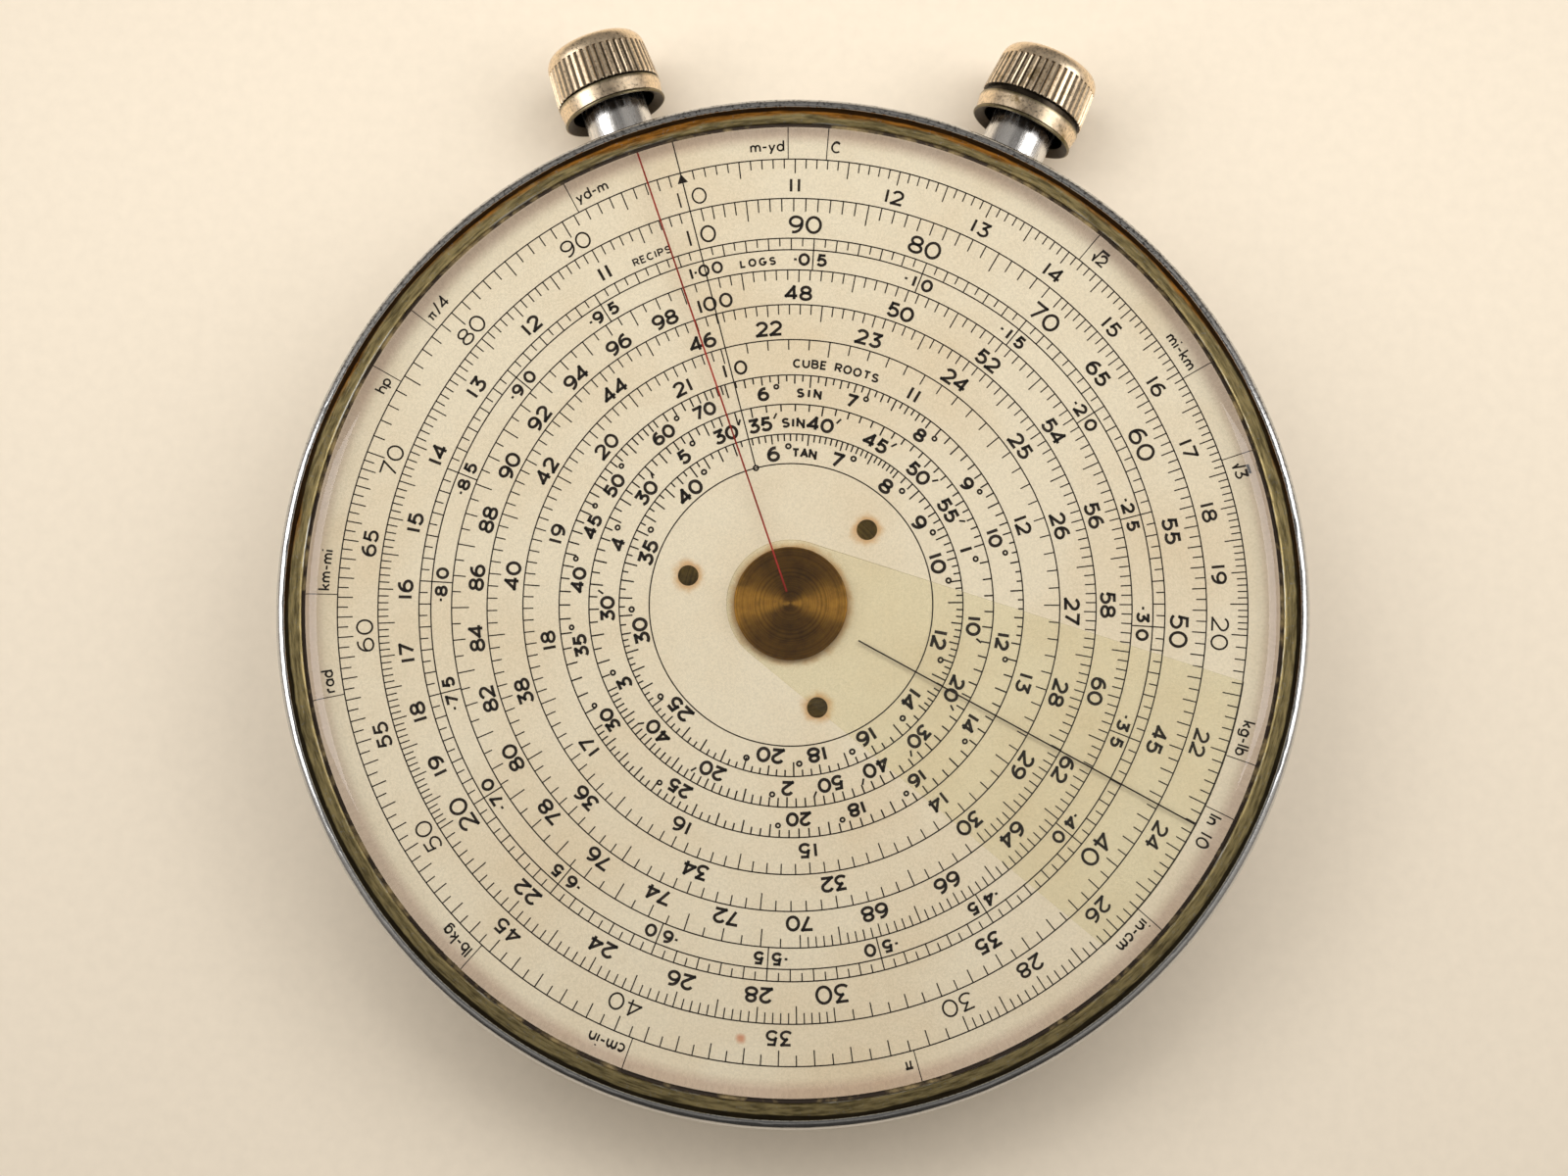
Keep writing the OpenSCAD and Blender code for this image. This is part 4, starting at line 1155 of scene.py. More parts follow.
def lip_shadow_and_grime(colours):
    """Dull black between the lip and the glass: painted shadow of the gap over old polish and dust, with tan
    crumbs.
    """
    material, tree, coords = new_finish("lip_shadow_and_grime")
    crumb = add(tree, "TexNoise", {"Vector": coords, "Scale": per(2.4), "Detail": 4, "Roughness": 0.6})
    tan = add(tree, "MapRange", [crumb, 0.5, 0.66])
    shades = {0: tan, MIX_A: full(colours.polish), MIX_B: full(colours.deposit)}
    tone = add(tree, "Mix", shades, MIX_OUT, data_type="RGBA")
    return close(material, tree, add(tree, "BsdfPrincipled", {"Base Color": tone, "Roughness": 0.85}))


def turned_metal(name, shade, grime, ring_step, roughness, stain, swirl=0.0):
    """Brass or steel faced on a lathe: rings of tool marks, a highlight across them, stained in patches.

    The marks are drawn coarser than a lathe leaves them, because finer ones wouldn't show.
    """
    material, tree, coords = new_finish(name)
    rings = {"W": radius_of(tree, coords), "Scale": per(ring_step), "Detail": 3}
    rings = add(tree, "TexNoise", rings, noise_dimensions="1D")
    patch = add(tree, "TexNoise", {"Vector": coords, "Scale": per(1.6), "Detail": 6, "Roughness": 0.65})
    coats = (
        (add(tree, "MapRange", [patch, 0.42, 0.75, 0.0, stain]), full(grime), "MIX"),
        (1.0, add(tree, "ValToRGB", [rings], stops=[(0.32, grey(0.62)), (0.62, grey(1.0))]), "MULTIPLY"),
    )
    tone = full(shade)
    for share, coat, blend in coats:
        layers = {0: share, MIX_A: tone, MIX_B: coat}
        tone = add(tree, "Mix", layers, MIX_OUT, data_type="RGBA", blend_type=blend)
    tangent = add(tree, "Tangent", direction_type="RADIAL", axis="Z")
    sheen = {"Anisotropic": swirl, "Anisotropic Rotation": 0.25, "Tangent": tangent}
    return metal(material, tree, tone, roughness, rings, 0.2, 0.03, sheen)


def fluted_nickel(name, colours, bare):
    """Nickel plate on brass, dull and warm: bright lands, black flutes, painted shade in hollows, brass where
    rubbed.
    """
    material, tree, coords = new_finish(name)
    patch = add(tree, "TexNoise", {"Vector": coords, "Scale": per(2.5), "Detail": 6, "Roughness": 0.65})
    fine = add(tree, "TexNoise", {"Vector": coords, "Scale": per(0.3), "Detail": 4, "Roughness": 0.7})
    coats = (
        (add(tree, "MapRange", [patch, 0.56, 0.7, 0.0, bare]), full(colours.knob_brass), "MIX"),
        (0.8, add(tree, "ValToRGB", [fine], stops=[(0.33, grey(0.5)), (0.54, grey(1.0))]), "MULTIPLY"),
        (add(tree, "Attribute", out="Fac", attribute_name="bead"), full(colours.verdigris), "MIX"),
        # Darker deep in the flutes, and painted shade in the groove, by the bead and in the hollow skirt
        (add(tree, "Attribute", out="Fac", attribute_name="hollow"), full(colours.grime), "MIX"),
    )
    tone = full(colours.nickel)
    for share, coat, blend in coats:
        layers = {0: share, MIX_A: tone, MIX_B: coat}
        tone = add(tree, "Mix", layers, MIX_OUT, data_type="RGBA", blend_type=blend)
    rough = add(tree, "MapRange", [fine, 0.3, 0.7, 0.24, 0.42])
    return metal(material, tree, tone, rough, fine, 0.2, 0.05)


def vulcanised_fibre(shade):
    """Dark vulcanised fibre: dull, with a faint paper mottle."""
    material, tree, coords = new_finish("vulcanised_fibre")
    mottle = add(tree, "TexNoise", {"Vector": coords, "Scale": per(0.6), "Detail": 5})
    tone = add(tree, "ValToRGB", [mottle], stops=[(0.3, full(shade, 0.6)), (0.7, full(shade))])
    grain = add(tree, "Bump", {"Height": mottle, "Strength": 0.2, "Distance": 0.05 * MM})
    fibre = {"Base Color": tone, "Roughness": 0.75, "Normal": grain}
    return close(material, tree, add(tree, "BsdfPrincipled", fibre))


def studio_card(shade):
    """Pale seamless card: matt, with a barely visible fibre, drawn coarser than real so that it shows."""
    material, tree, coords = new_finish("studio_card")
    fibre = add(tree, "TexNoise", {"Vector": coords, "Scale": per(1.2), "Detail": 5})
    tone = add(tree, "ValToRGB", [fibre], stops=[(0.3, full(shade, 0.96)), (0.7, full(shade))])
    return close(material, tree, add(tree, "BsdfPrincipled", {"Base Color": tone, "Roughness": 0.8}))


# Pieces


class DressCase(bpy.types.Operator):
    """The plated cup and the two bright tubes that the stems run in."""

    bl_idname = "slide_rule.dress_case"
    bl_label = "Case and tubes"

    def execute(self, context):
        colours = context.scene.slide_rule_colours
        plate = chromed_brass("chromed_case", colours.chrome, colours.grime)
        smooth_node("case_shell", "case_body", plate, "case", crease=30)
        for name, stem in STEMS.items():
            plate = streaked_tube(f"chromed_{name}_tube", colours, math.atan2(-stem.axis[0], stem.axis[1]))
            smooth_node(f"{name}_tube", f"{name}_stem_tube", plate, "case", crease=30)
        return {"FINISHED"}


# Chamfer at the bezel's foot, degrees of the rounded edge, and the nicks' widths, reach and seed
FOOT_CHAMFER, CROWN_SWEEP = 0.08, 84
NICK_NARROW, NICK_WIDE, NICK_REACH, NICK_SEED = 0.15, 0.9, 0.2, 11


class DressBezel(bpy.types.Operator):
    """The bezel: a skirt, a rounded edge up to a nicked ridge, a worn band that slopes in to the glass."""

    bl_idname = "slide_rule.dress_bezel"
    bl_label = "Bezel"

    columns: IntProperty(name="Columns", description="Points round the bezel", default=1440, min=64)
    nick_count: IntProperty(name="Nicks", description="Number of nicks in the ridge", default=160, min=0)

    def execute(self, context):
        form = context.scene.slide_rule_form
        ridge_r = BEZEL_R - form.ridge_in / MM
        edge_h = form.ridge_round / MM
        lip_top = RIDGE_TOP - form.ridge_rise / MM
        lip_under = lip_top - form.lip_t / MM
        points = node_points("bezel")
        low = points[points[:, 2] < lip_under - 2 * NEAR]
        inner_r = np.hypot(low[:, 0], low[:, 1]).min()
        crown = arc((ridge_r, RIDGE_TOP - edge_h), (BEZEL_R - ridge_r, edge_h), 0, CROWN_SWEEP, 12)
        bevel = form.lip_bevel / MM
        band = np.linspace(crown[-1], (LIP_R + bevel, lip_top), 9)[1:]
        profile = path(
            (inner_r, lip_under), (inner_r, BEZEL_FOOT), (BEZEL_R - FOOT_CHAMFER, BEZEL_FOOT),
            (BEZEL_R, BEZEL_FOOT + FOOT_CHAMFER), crown, band, (LIP_R, lip_top - bevel), (LIP_R, lip_under),
        )
        surface = turned(profile, self.columns)
        surface[..., 2] -= self.nicks(profile, form.nick_depth / MM, (ridge_r, RIDGE_TOP))
        faces = grid_faces(self.columns, len(profile), wrap_columns=True)
        finish = worn_bezel(context.scene.slide_rule_colours, LIP_R, ridge_r)
        make_piece("bezel_ring", *outward(surface, faces), [finish], "case", "plated_bezel", ["bezel"])
        return {"FINISHED"}

    def nicks(self, profile, deepest, ridge):
        """Depth of the nicks at each point of the profile round the bezel.

        It is the sum of depth exp(-(a / width)^2) for the angle a to each nick's middle, times
        exp(-(d / reach)^2) for the distance d of the profile's point from the ridge.
        """
        draw = np.random.default_rng(NICK_SEED)
        at = draw.uniform(0, 2 * np.pi, self.nick_count)
        depth = deepest * draw.uniform(0.15, 1, self.nick_count) ** 2
        width = draw.uniform(NICK_NARROW, NICK_WIDE, self.nick_count) / ridge[0]
        bearing = np.linspace(0, 2 * np.pi, self.columns, endpoint=False)[:, None]
        away = (bearing - at + np.pi) % (2 * np.pi) - np.pi
        cut = (depth * np.exp(-((away / width) ** 2))).sum(axis=1)
        fade = np.exp(-(((profile - ridge) ** 2).sum(axis=1) / NICK_REACH**2))
        return cut[:, None] * fade


# Chamfer of the crystal's rim, steps that keep its flat top flat, and the datum line's gap and inner end
RIM_CHAMFER, FLAT_STEP, DATUM_GAP, DATUM_END = 0.05, 0.02, 0.003, 1.0


class DressCrystal(bpy.types.Operator):
    """The watch crystal with its rounded shoulder, and the red datum line on its underside."""

    bl_idname = "slide_rule.dress_crystal"
    bl_label = "Crystal and datum line"

    def execute(self, context):
        scene = context.scene
        form = scene.slide_rule_form
        sizes = scene.slide_rule_print
        dome_r = LIP_R - form.crystal_gap / MM
        rim_top = CRYSTAL_UNDER + form.crystal_rim_t / MM
        wall_top = rim_top + form.lip_t / MM
        shoulder = form.shoulder_w / MM
        flat_r = dome_r - shoulder
        profile = path(
            (0, CRYSTAL_UNDER), (CRYSTAL_R - RIM_CHAMFER, CRYSTAL_UNDER),
            (CRYSTAL_R, CRYSTAL_UNDER + RIM_CHAMFER), (CRYSTAL_R, rim_top), (dome_r, rim_top),
            arc((flat_r, wall_top), (shoulder, CRYSTAL_TOP - wall_top), 0, 90, 32),
            (flat_r - FLAT_STEP, CRYSTAL_TOP), (flat_r - 2 * FLAT_STEP, CRYSTAL_TOP), (0, CRYSTAL_TOP),
        )
        points, faces = turned_patch(profile, 360)
        # The ledge and wall under the lip take the dark gap finish: painted shadow of the gap between lip and
        # glass
        ledge = np.flatnonzero((profile[:-1, 1] == rim_top) & (profile[:-1, 0] > flat_r))
        parts = np.isin(np.arange(len(faces)) % (len(profile) - 1), ledge)
        finishes = [clear_crystal(flat_r, dome_r), lip_shadow_and_grime(scene.slide_rule_colours)]
        make_piece(
            "crystal_dome", points, faces, finishes, "case", "crystal", ["crystal"], crease=30, parts=parts
        )
        under = CRYSTAL_UNDER - DATUM_GAP
        press = Press(under - sizes.ink_rise / MM, under)
        bearing = np.array([sizes.datum_bearing])
        line = press.divisions(bearing, LIP_R, DATUM_END, sizes.datum_w / MM)
        red = printing_ink("red_datum_ink", scene.slide_rule_colours.datum)
        make_piece("datum_line", *line, [red], "case", "crystal", weld=False)
        return {"FINISHED"}


# A rivet's head: its depth, the round and the flat at its edge, and its rise
HEAD_DEPTH, HEAD_ROUND, HEAD_FLAT, HEAD_RISE = 0.45, 0.06, 0.1, 0.03


class DressDial(bpy.types.Operator):
    """The lacquered dial plate and the three flush rivets that hold it to its pipe."""

    bl_idname = "slide_rule.dress_dial"
    bl_label = "Dial plate and rivets"

    rivet_count: IntProperty(name="Rivets", description="Number of dial rivets", default=3, min=1)

    def execute(self, context):
        scene = context.scene
        form = scene.slide_rule_form
        colours = scene.slide_rule_colours
        share = (np.arange(self.rivet_count) + 0.5) / self.rivet_count
        at = scene.slide_rule_print.index_bearing + 2 * np.pi * share
        places = polar(at, form.rivet_circle / MM)
        finish_node("dial", lacquered_dial(colours, places, CAP_R))
        head_r = form.rivet_head_r / MM
        points = node_points("dial_rivets")
        foot = points[:, 2].min()
        shank = points[points[:, 2] < foot + NEAR]
        shank_r = np.linalg.norm(shank[:, None, :2] - places, axis=2).min(axis=1).max()
        head_under = DIAL_TOP - HEAD_DEPTH
        round_start = (head_r, DIAL_TOP - HEAD_ROUND)
        profile = path(
            (0, foot), (shank_r, foot), (shank_r, head_under), (head_r, head_under), round_start,
            eased(round_start, (head_r, DIAL_TOP), (0, DIAL_TOP + HEAD_RISE), HEAD_ROUND),
            arc((0, DIAL_TOP), (head_r - HEAD_FLAT, HEAD_RISE), 8, 90, 6),
        )
        patches = [turned_patch(profile, 64, place) for place in places]
        bronze = turned_metal("browned_bronze", colours.bronze, colours.grime, 0.2, 0.5, 0.8)
        make_piece(
            "dial_rivet_heads", *joined(patches), [bronze], "dial_set", "bronzed_rivet", ["dial_rivets"]
        )
        return {"FINISHED"}


class PrintScales(bpy.types.Operator):
    """The print on the dial: circles, divisions, numerals and the names of the scales."""

    bl_idname = "slide_rule.print_scales"
    bl_label = "Printed scales"

    def execute(self, context):
        sizes = context.scene.slide_rule_print
        press = Press(DIAL_TOP - sizes.ink_sink / MM, DIAL_TOP + sizes.ink_rise / MM, sizes.ink_spread)
        index = sizes.index_bearing
        ink = printing_ink("black_printing_ink", context.scene.slide_rule_colours.ink)
        prints = {
            "dial_circles": print_circles(press, sizes, index),
            "dial_divisions": print_divisions(press, sizes, index),
            "dial_numerals": print_numerals(press, index),
            "dial_words": print_words(press, index),
        }
        for name, patches in prints.items():
            make_piece(name, *joined(patches), [ink], "dial_set", "dial_enamel", weld=False, crease=1)
        return {"FINISHED"}


# The leaf's bevel, and how far the hairline ends from the leaf's outer edge and from the cap
LEAF_BEVEL, HAIRLINE_INSET, HAIRLINE_CLEAR = 0.03, 0.1, 1.7

# The centre cap: chamfer at its foot, bevel and round at its top, dish and its margin, and the lathe's point
CAP_FOOT, CAP_BEVEL, CAP_ROUND, DISH_MARGIN, DISH_DEPTH, POINT_R, POINT_DEPTH = (
    0.04, 0.13, 0.05, 0.22, 0.025, 0.12, 0.06
)


class DressCursor(bpy.types.Operator):
    """The clear cursor leaf with its hairline, and the brass cap that holds it on the centre."""

    bl_idname = "slide_rule.dress_cursor"
    bl_label = "Cursor and centre cap"

    def execute(self, context):
        scene = context.scene
        sizes = scene.slide_rule_print
        form = scene.slide_rule_form
        colours = scene.slide_rule_colours
        self.leaf(form, colours, sizes.hairline_bearing)
        press = Press(LEAF_TOP - sizes.ink_sink / MM, LEAF_TOP + sizes.ink_rise / MM)
        ends = LEAF_REACH - HAIRLINE_INSET, CAP_R + HAIRLINE_CLEAR
        line = press.divisions(np.array([sizes.hairline_bearing]), *ends, sizes.hairline_w / MM)
        black = printing_ink("black_hairline", colours.ink)
        make_piece("cursor_hairline", *line, [black], "cursor_set", "celluloid", weld=False)
        self.cap(colours)
        return {"FINISHED"}

    def leaf(self, form, colours, bearing):
        """A flat slab whose edge lies at root / sin(a - flare) for an angle a from the hairline.

        That radius is kept between the root and the reach.
        """
        root = form.leaf_root_r / MM
        flare = form.leaf_flare
        corner = flare + math.asin(root / LEAF_REACH)
        tangent = flare + math.pi / 2
        along = np.linspace(math.sqrt(LEAF_REACH**2 - root**2), 0, 40)
        side = flare + np.arctan2(root, along)
        end = np.linspace(0, corner, 30)[:-1]
        half = np.concatenate([end, side, np.linspace(tangent, np.pi, 40)[1:]])
        away = np.concatenate([half, 2 * np.pi - half[-2:0:-1]])
        least = np.minimum(away, 2 * np.pi - away)
        slope = np.sin(np.clip(least - flare, 1e-3, np.pi / 2))
        edge = np.clip(root / slope, root, LEAF_REACH)
        hole = np.full_like(edge, LEAF_HOLE)
        rows = (
            (hole, LEAF_UNDER), (edge - LEAF_BEVEL, LEAF_UNDER), (edge, LEAF_UNDER + LEAF_BEVEL),
            (edge, LEAF_TOP - LEAF_BEVEL), (edge - LEAF_BEVEL, LEAF_TOP), (hole, LEAF_TOP),
        )
        radius = np.stack([reach for reach, z in rows], axis=1)
        height = np.broadcast_to([z for reach, z in rows], radius.shape)
        flat = polar(bearing + away[:, None], radius)
        points = np.concatenate([flat, height[..., None]], axis=2)
        faces = grid_faces(len(away), len(rows), wrap_columns=True)
        parts = np.isin(np.arange(len(faces)) % len(rows), (1, 2, 3)).astype(int)
        finishes = [
            yellowed_celluloid("celluloid_sheet", colours.celluloid),
            yellowed_celluloid("celluloid_edge", colours.celluloid_edge),
        ]
        points, faces = outward(points, faces)
        make_piece(
            "cursor_leaf", points, faces, finishes, "cursor_set", "celluloid", ["cursor"], parts=parts
        )

    def cap(self, colours):
        """A turned disc with a chamfered edge, a dish and the point that the lathe left in its middle.

        The dish falls by its depth times 1 less the square of the share of the cap's radius.
        """
        points = node_points("hub_cap")
        away = np.hypot(points[:, 0], points[:, 1])
        seat_r = away[away > OFF_AXIS].min()
        seat_top = points[away < seat_r + NEAR, 2]
        seat_top = seat_top[seat_top < CAP_TOP - NEAR].max()
        dish = np.linspace(CAP_R - DISH_MARGIN, POINT_R, 24)
        top = np.stack([dish, CAP_TOP - DISH_DEPTH * (1 - (dish / CAP_R) ** 2)], axis=1)
        profile = path(
            (0, seat_top), (seat_r, seat_top), (seat_r, CAP_UNDER), (CAP_R - CAP_FOOT, CAP_UNDER),
            (CAP_R, CAP_UNDER + CAP_FOOT), (CAP_R, CAP_TOP - CAP_BEVEL),
            (CAP_R - CAP_ROUND, CAP_TOP - CAP_ROUND), (CAP_R - CAP_BEVEL, CAP_TOP), top,
            (0, CAP_TOP - POINT_DEPTH),
        )
        brass = turned_metal(
            "tarnished_turned_brass", colours.hub_brass, colours.grime, 0.18, 0.46, 0.6, swirl=1.0
        )
        points, faces = turned_patch(profile, 180)
        make_piece("centre_cap", points, faces, [brass], "cursor_set", "dark_brass", ["hub_cap"])


# Share of a knob that has lost its nickel, darkness deep in flutes, painted shade in hollows, green on edges
BARE = {"dial": 0.35, "cursor": 0.9}
FLUTE_DARK, HOLLOW_SHADE, EDGE_GREEN = 0.85, 0.95, 0.8


class DressKnobs(bpy.types.Operator):
    """The two knobs: a hollow skirt with a smooth collar, a groove, flutes and a rounded end."""

    bl_idname = "slide_rule.dress_knobs"
    bl_label = "Knobs"

    samples: IntProperty(name="Samples", description="Points across a flute and its land", default=14, min=6)

    def execute(self, context):
        colours = context.scene.slide_rule_colours
        for name, bare in BARE.items():
            finish = fluted_nickel(f"nickel_{name}_knob", colours, bare)
            self.knob(name, STEMS[name], finish, context.scene.slide_rule_form)
        return {"FINISHED"}

    def knob(self, name, stem, finish, form):
        """A profile carried round the stem. Each flute is a round groove centred on the tapered side.

        The radius there is the least of the profile's and the side's less the square root of flute_r^2 - u^2,
        where u is the distance round the knob from the nearest flute's middle. The small numbers in the
        profile break its corners. The bore's ends and radius are those of the solid's points nearest to the
        axis.
        """
        solid_place, solid_radius = stem.around(f"{name}_knob")
        rim, end, knob_r = solid_place.min(), solid_place.max(), solid_radius.max()
        bore_r = solid_radius[solid_radius > OFF_AXIS].min()
        bore = solid_place[np.abs(solid_radius - bore_r) < NEAR]
        head, bore_end = bore.min(), bore.max()
        hollow_r = form.hollow_r / MM
        narrow_r = knob_r - form.knob_swell / MM
        bead_end = rim + form.bead_l / MM
        bead_r = narrow_r + form.bead_h / MM
        groove = rim + form.collar_l / MM
        flute_end = end - form.dome_h / MM
        flute_start = flute_end - form.flute_l / MM
        groove_r = knob_r - form.groove_d / MM
        dome_w = form.dome_w / MM
        bead = path(
            (rim, bead_r - 0.08), (rim + 0.03, bead_r - 0.02), (rim + 0.08, bead_r),
            (bead_end - 0.05, bead_r), (bead_end - 0.01, bead_r - 0.03), (bead_end, narrow_r - 0.06),
            (bead_end + 0.07, narrow_r - 0.06),
        )
        collar = np.linspace((bead_end + 0.09, narrow_r), (groove - 0.08, knob_r), 6)
        side = np.linspace((flute_start + 0.06, knob_r), (flute_end, narrow_r), 12)
        dome = arc((flute_end + 0.04, narrow_r - dome_w), (end - flute_end - 0.04, dome_w), 90, 0, 16)
        mouth_r = bead_r - form.mouth_wall / MM
        skirt = np.linspace((head - 0.1, hollow_r), (rim + form.mouth_l / MM, hollow_r), 4)
        profile = path(
            (bore_end, 0), (bore_end, bore_r), (head, bore_r), (head, hollow_r - 0.1), skirt, (rim, mouth_r),
            bead, collar, (groove - 0.02, knob_r - 0.02), (groove, knob_r - 0.08), (groove + 0.02, groove_r),
            (flute_start - 0.02, groove_r), (flute_start, knob_r - 0.06), side, dome,
            np.linspace((end, narrow_r - dome_w), (end, 0), 6)[1:],
        )
        place, radius = profile.T
        count = form.flute_count * self.samples
        turn = np.linspace(0, 2 * np.pi, count, endpoint=False)[:, None]
        pitch = 2 * np.pi / form.flute_count
        away = ((turn + pitch / 2) % pitch - pitch / 2) * radius
        taper = knob_r + (narrow_r - knob_r) * (place - flute_start) / (flute_end - flute_start)
        flute_r = form.flute_r / MM
        depth = np.sqrt(np.maximum(flute_r**2 - away**2, 0))
        outer = radius > mouth_r + 0.01
        fluted = (place > flute_start - 0.01) & (place < flute_end + 0.01) & (radius > groove_r)
        cut = np.where(fluted & (depth > 0), np.minimum(radius, taper - depth), radius)
        hollow = np.where(fluted, np.clip((radius - cut) / flute_r * 1.4 - 0.5, 0, FLUTE_DARK), 0)
        # Painted shade: dark in the groove, in the crease by the bead, and inside the hollow skirt and its mouth
        in_groove = outer & (place > groove - 0.01) & (place < flute_start + 0.01)
        by_bead = outer & (np.abs(place - bead_end - 0.03) < 0.05) & (radius < narrow_r - 0.03)
        inside = ~outer & (place < flute_end)
        hollow = np.maximum(hollow, np.where(in_groove | by_bead | inside, HOLLOW_SHADE, 0))
        brass = outer & ((place < bead_end - 0.005) | (np.abs(place - groove + 0.05) < 0.045))
        points = stem.points(np.broadcast_to(place, cut.shape), cut, turn)
        faces = grid_faces(count, len(place))
        make_piece(
            f"{name}_knob_fluted", *outward(points, faces), [finish], stem.body, "nickel_knob",
            [f"{name}_knob"], crease=40,
            marks={"hollow": hollow, "bead": np.broadcast_to(EDGE_GREEN * brass, cut.shape)},
        )


class DressWorks(bpy.types.Operator):
    """The train inside the case: brass wheels and bridge, steel stems, springs and screws, fibre rings."""

    bl_idname = "slide_rule.dress_works"
    bl_label = "Works"

    def execute(self, context):
        colours = context.scene.slide_rule_colours
        finishes = {
            "brass": turned_metal("turned_brass", colours.brass, colours.grime, 0.22, 0.34, 0.25, swirl=0.4),
            "steel": turned_metal("turned_steel", colours.steel, colours.grime, 0.18, 0.3, 0.2, swirl=0.4),
            "seat_ring": vulcanised_fibre(colours.fibre),
        }
        for part in frame["record"]["subparts"]:
            if part["material_slot"] in finishes:
                finish_node(part["node"], finishes[part["material_slot"]])
        return {"FINISHED"}


# Bearing and elevation in degrees of the lamps, which only light, and of the boxes, which metal also shows
LAMPS = {"left_lamp": (-40, 60), "right_lamp": (40, 60)}
BOXES = {"left_box": (-88, 38), "right_box": (80, 38)}

# Points along a side of the floor, its gap to the case, and the camera's sensor and nearest sight
FLOOR_POINTS, FLOOR_GAP, SENSOR_W, CLIP_START = 9, 0.02, 36, 10


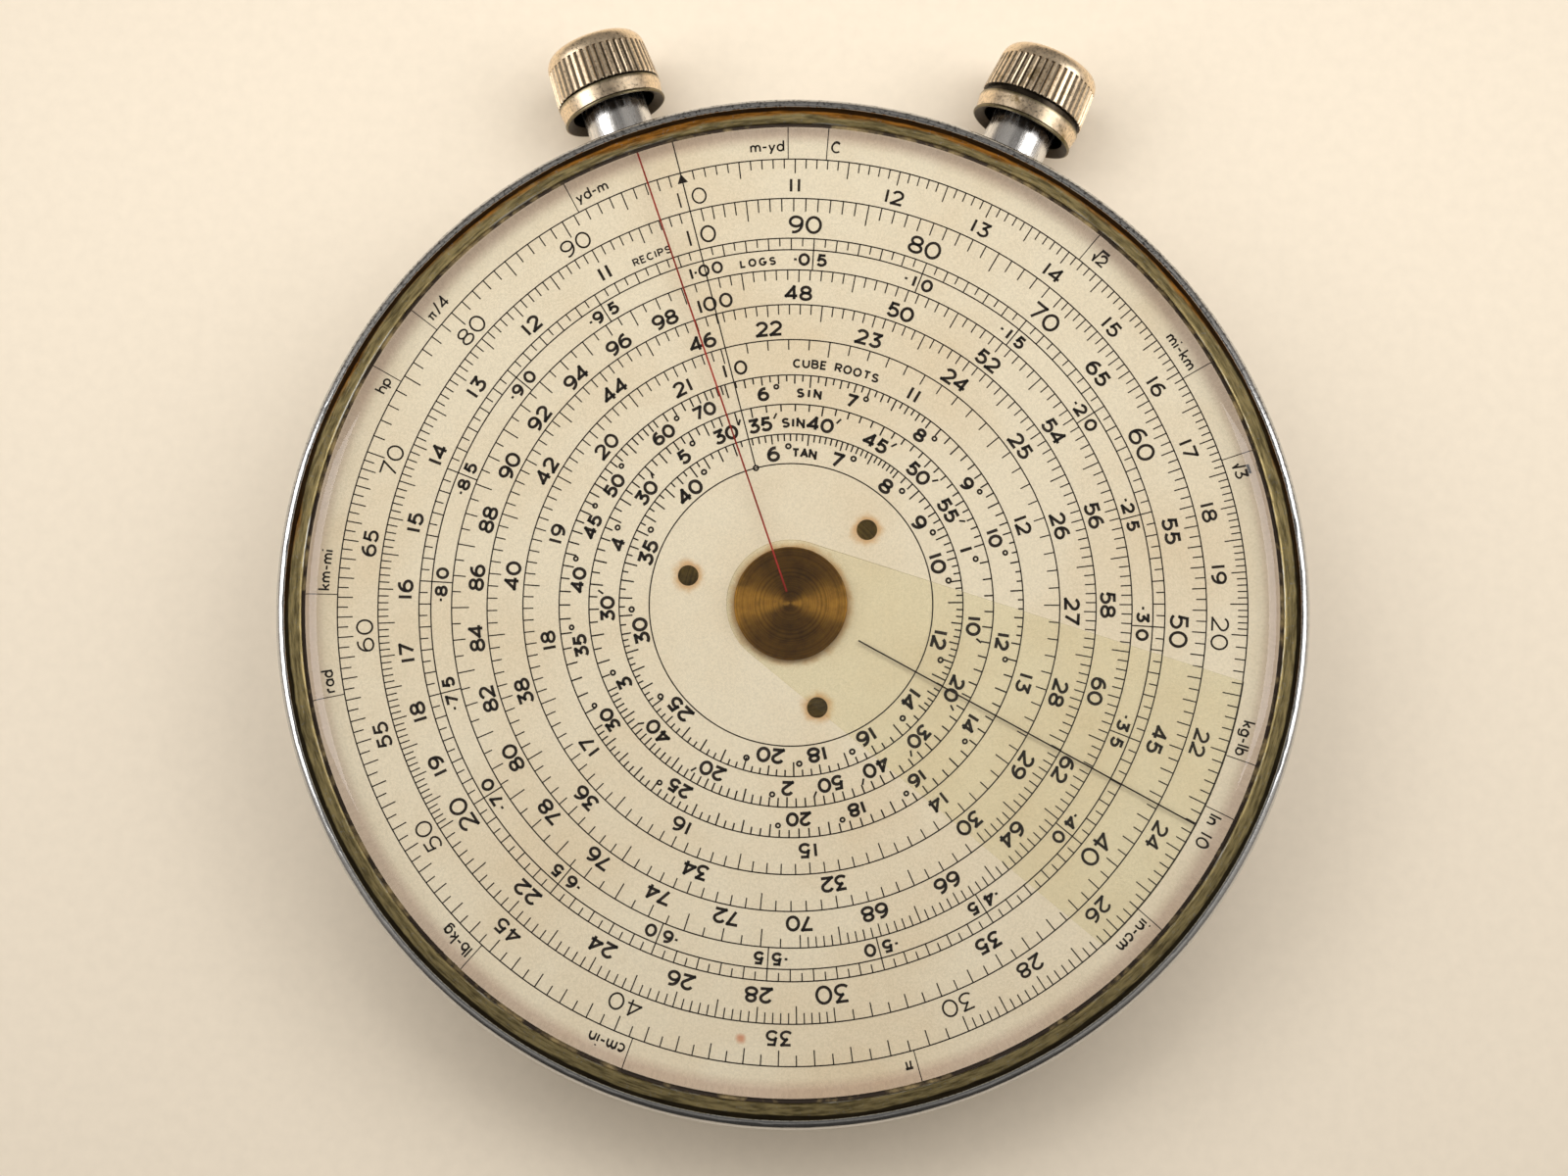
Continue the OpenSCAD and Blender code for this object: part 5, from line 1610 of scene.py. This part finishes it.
class SetStage(bpy.types.Operator):
    """Pale floor, two lamps and two soft boxes at the left and right, light all round, and the camera."""

    bl_idname = "slide_rule.set_stage"
    bl_label = "Stage"

    def execute(self, context):
        scene = context.scene
        stage = scene.slide_rule_stage
        self.floor(stage, scene.slide_rule_colours.floor)
        for name, way in LAMPS.items():
            lamp = self.lamp(name, *way, stage.lamp_power, stage.lamp_size, stage.lamp_distance)
            lamp.visible_glossy = False
            lamp.visible_transmission = False
        for name, way in BOXES.items():
            self.lamp(name, *way, stage.box_power, stage.box_size, stage.box_distance)
        self.sky(scene, stage.sky_strength)
        self.camera(scene, stage)
        scene.view_settings.view_transform = "Standard"
        return {"FINISHED"}

    def floor(self, stage, shade):
        """A flat square grid just under the back of the case."""
        steps = np.linspace(-0.5, 0.5, FLOOR_POINTS) * stage.floor_size
        x, y = np.meshgrid(steps, steps, indexing="ij")
        points = np.stack([x, y, np.full_like(x, -FLOOR_GAP * MM)], axis=-1).reshape(-1, 3)
        mesh = bpy.data.meshes.new("studio_floor")
        mesh.from_pydata(points, [], grid_faces(FLOOR_POINTS, FLOOR_POINTS, wrap_rows=False)[:, ::-1])
        mesh.materials.append(studio_card(shade))
        floor = bpy.data.objects.new("studio_floor", mesh)
        bpy.context.scene.collection.objects.link(floor)

    def lamp(self, name, bearing, elevation, power, size, distance):
        """A square lamp at a bearing and an elevation, facing the centre of the dial."""
        bearing = math.radians(bearing)
        elevation = math.radians(elevation)
        level = math.cos(elevation)
        way = Vector((math.sin(bearing) * level, math.cos(bearing) * level, math.sin(elevation)))
        light = bpy.data.lights.new(name, "AREA")
        light.energy = power
        light.size = size
        lamp = bpy.data.objects.new(name, light)
        lamp.location = way * distance
        lamp.rotation_euler = way.to_track_quat("Z", "Y").to_euler()
        bpy.context.scene.collection.objects.link(lamp)
        return lamp

    def sky(self, scene, strength):
        """Light all round, brightest from side to side, dim straight above and on the reader's side."""
        world = bpy.data.worlds.new("studio_sky")
        world.use_nodes = True
        tree = world.node_tree
        tree.nodes.clear()
        way = add(tree, "TexCoord", out="Generated")
        rise = add(tree, "SeparateXYZ", [way], "Z")
        along = add(tree, "MapRange", [add(tree, "SeparateXYZ", [way], "Y"), -1.0])
        levels = (0.0, "#8a837c"), (0.3, "#948f89"), (0.86, "#a29e98"), (0.95, "#565452")
        depths = (0.12, 0.1), (0.43, 1.0), (0.55, 1.0), (0.85, 0.4)
        shade = add(tree, "ValToRGB", [rise], stops=[(z, linear(tint)) for z, tint in levels])
        far = add(tree, "ValToRGB", [along], stops=[(y, grey(share)) for y, share in depths])
        layers = {0: 1.0, MIX_A: shade, MIX_B: far}
        shade = add(tree, "Mix", layers, MIX_OUT, data_type="RGBA", blend_type="MULTIPLY")
        light = add(tree, "Background", {"Color": shade, "Strength": strength})
        add(tree, "OutputWorld", {"Surface": light})
        scene.world = world

    def camera(self, scene, stage):
        """A camera that looks from its place to its aim, with +Y upright before the roll."""
        face = Vector((0, 0, DIAL_TOP * MM))
        place = Vector(stage.camera_place) + face
        back = (place - face - Vector(stage.camera_aim)).normalized()
        right = Vector((0, 1, 0)).cross(back).normalized()
        up = back.cross(right)
        turn = Matrix((right, up, back)).transposed() @ Matrix.Rotation(stage.camera_roll, 3, "Z")
        lens = bpy.data.cameras.new("studio_camera")
        lens.lens = stage.lens
        lens.sensor_width = SENSOR_W
        lens.clip_start = CLIP_START * MM
        camera = bpy.data.objects.new("studio_camera", lens)
        camera.matrix_world = Matrix.Translation(place) @ turn.to_4x4()
        scene.collection.objects.link(camera)
        scene.camera = camera


class SlideRulePanel(bpy.types.Panel):
    """Lists the pieces and the values they are made from."""

    bl_idname = "VIEW3D_PT_slide_rule"
    bl_label = "Circular slide rule"
    bl_space_type = "VIEW_3D"
    bl_region_type = "UI"
    bl_category = "Slide Rule"

    def draw(self, context):
        for operator in OPERATORS:
            self.layout.operator(operator.bl_idname)
        for name in GROUPS:
            group = getattr(context.scene, name)
            box = self.layout.box()
            for key in group.bl_rna.properties.keys():
                if key not in {"rna_type", "name"}:
                    box.prop(group, key)


GROUPS = {
    "slide_rule_print": PrintSizes,
    "slide_rule_form": FormSizes,
    "slide_rule_colours": FinishColours,
    "slide_rule_stage": StageSizes,
}
OPERATORS = (
    SetStage, DressCase, DressBezel, DressCrystal, DressDial, PrintScales, DressCursor, DressKnobs, DressWorks
)


def register():
    for group in (*GROUPS.values(), *OPERATORS, SlideRulePanel):
        bpy.utils.register_class(group)
    for name, group in GROUPS.items():
        setattr(bpy.types.Scene, name, PointerProperty(type=group))


def unregister():
    for name in GROUPS:
        delattr(bpy.types.Scene, name)
    for group in (SlideRulePanel, *reversed(OPERATORS), *GROUPS.values()):
        bpy.utils.unregister_class(group)


def main():
    """Register the add-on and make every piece."""
    register()
    for operator in OPERATORS:
        family, name = operator.bl_idname.split(".")
        getattr(getattr(bpy.ops, family), name)()


if __name__ == "__main__":
    main()
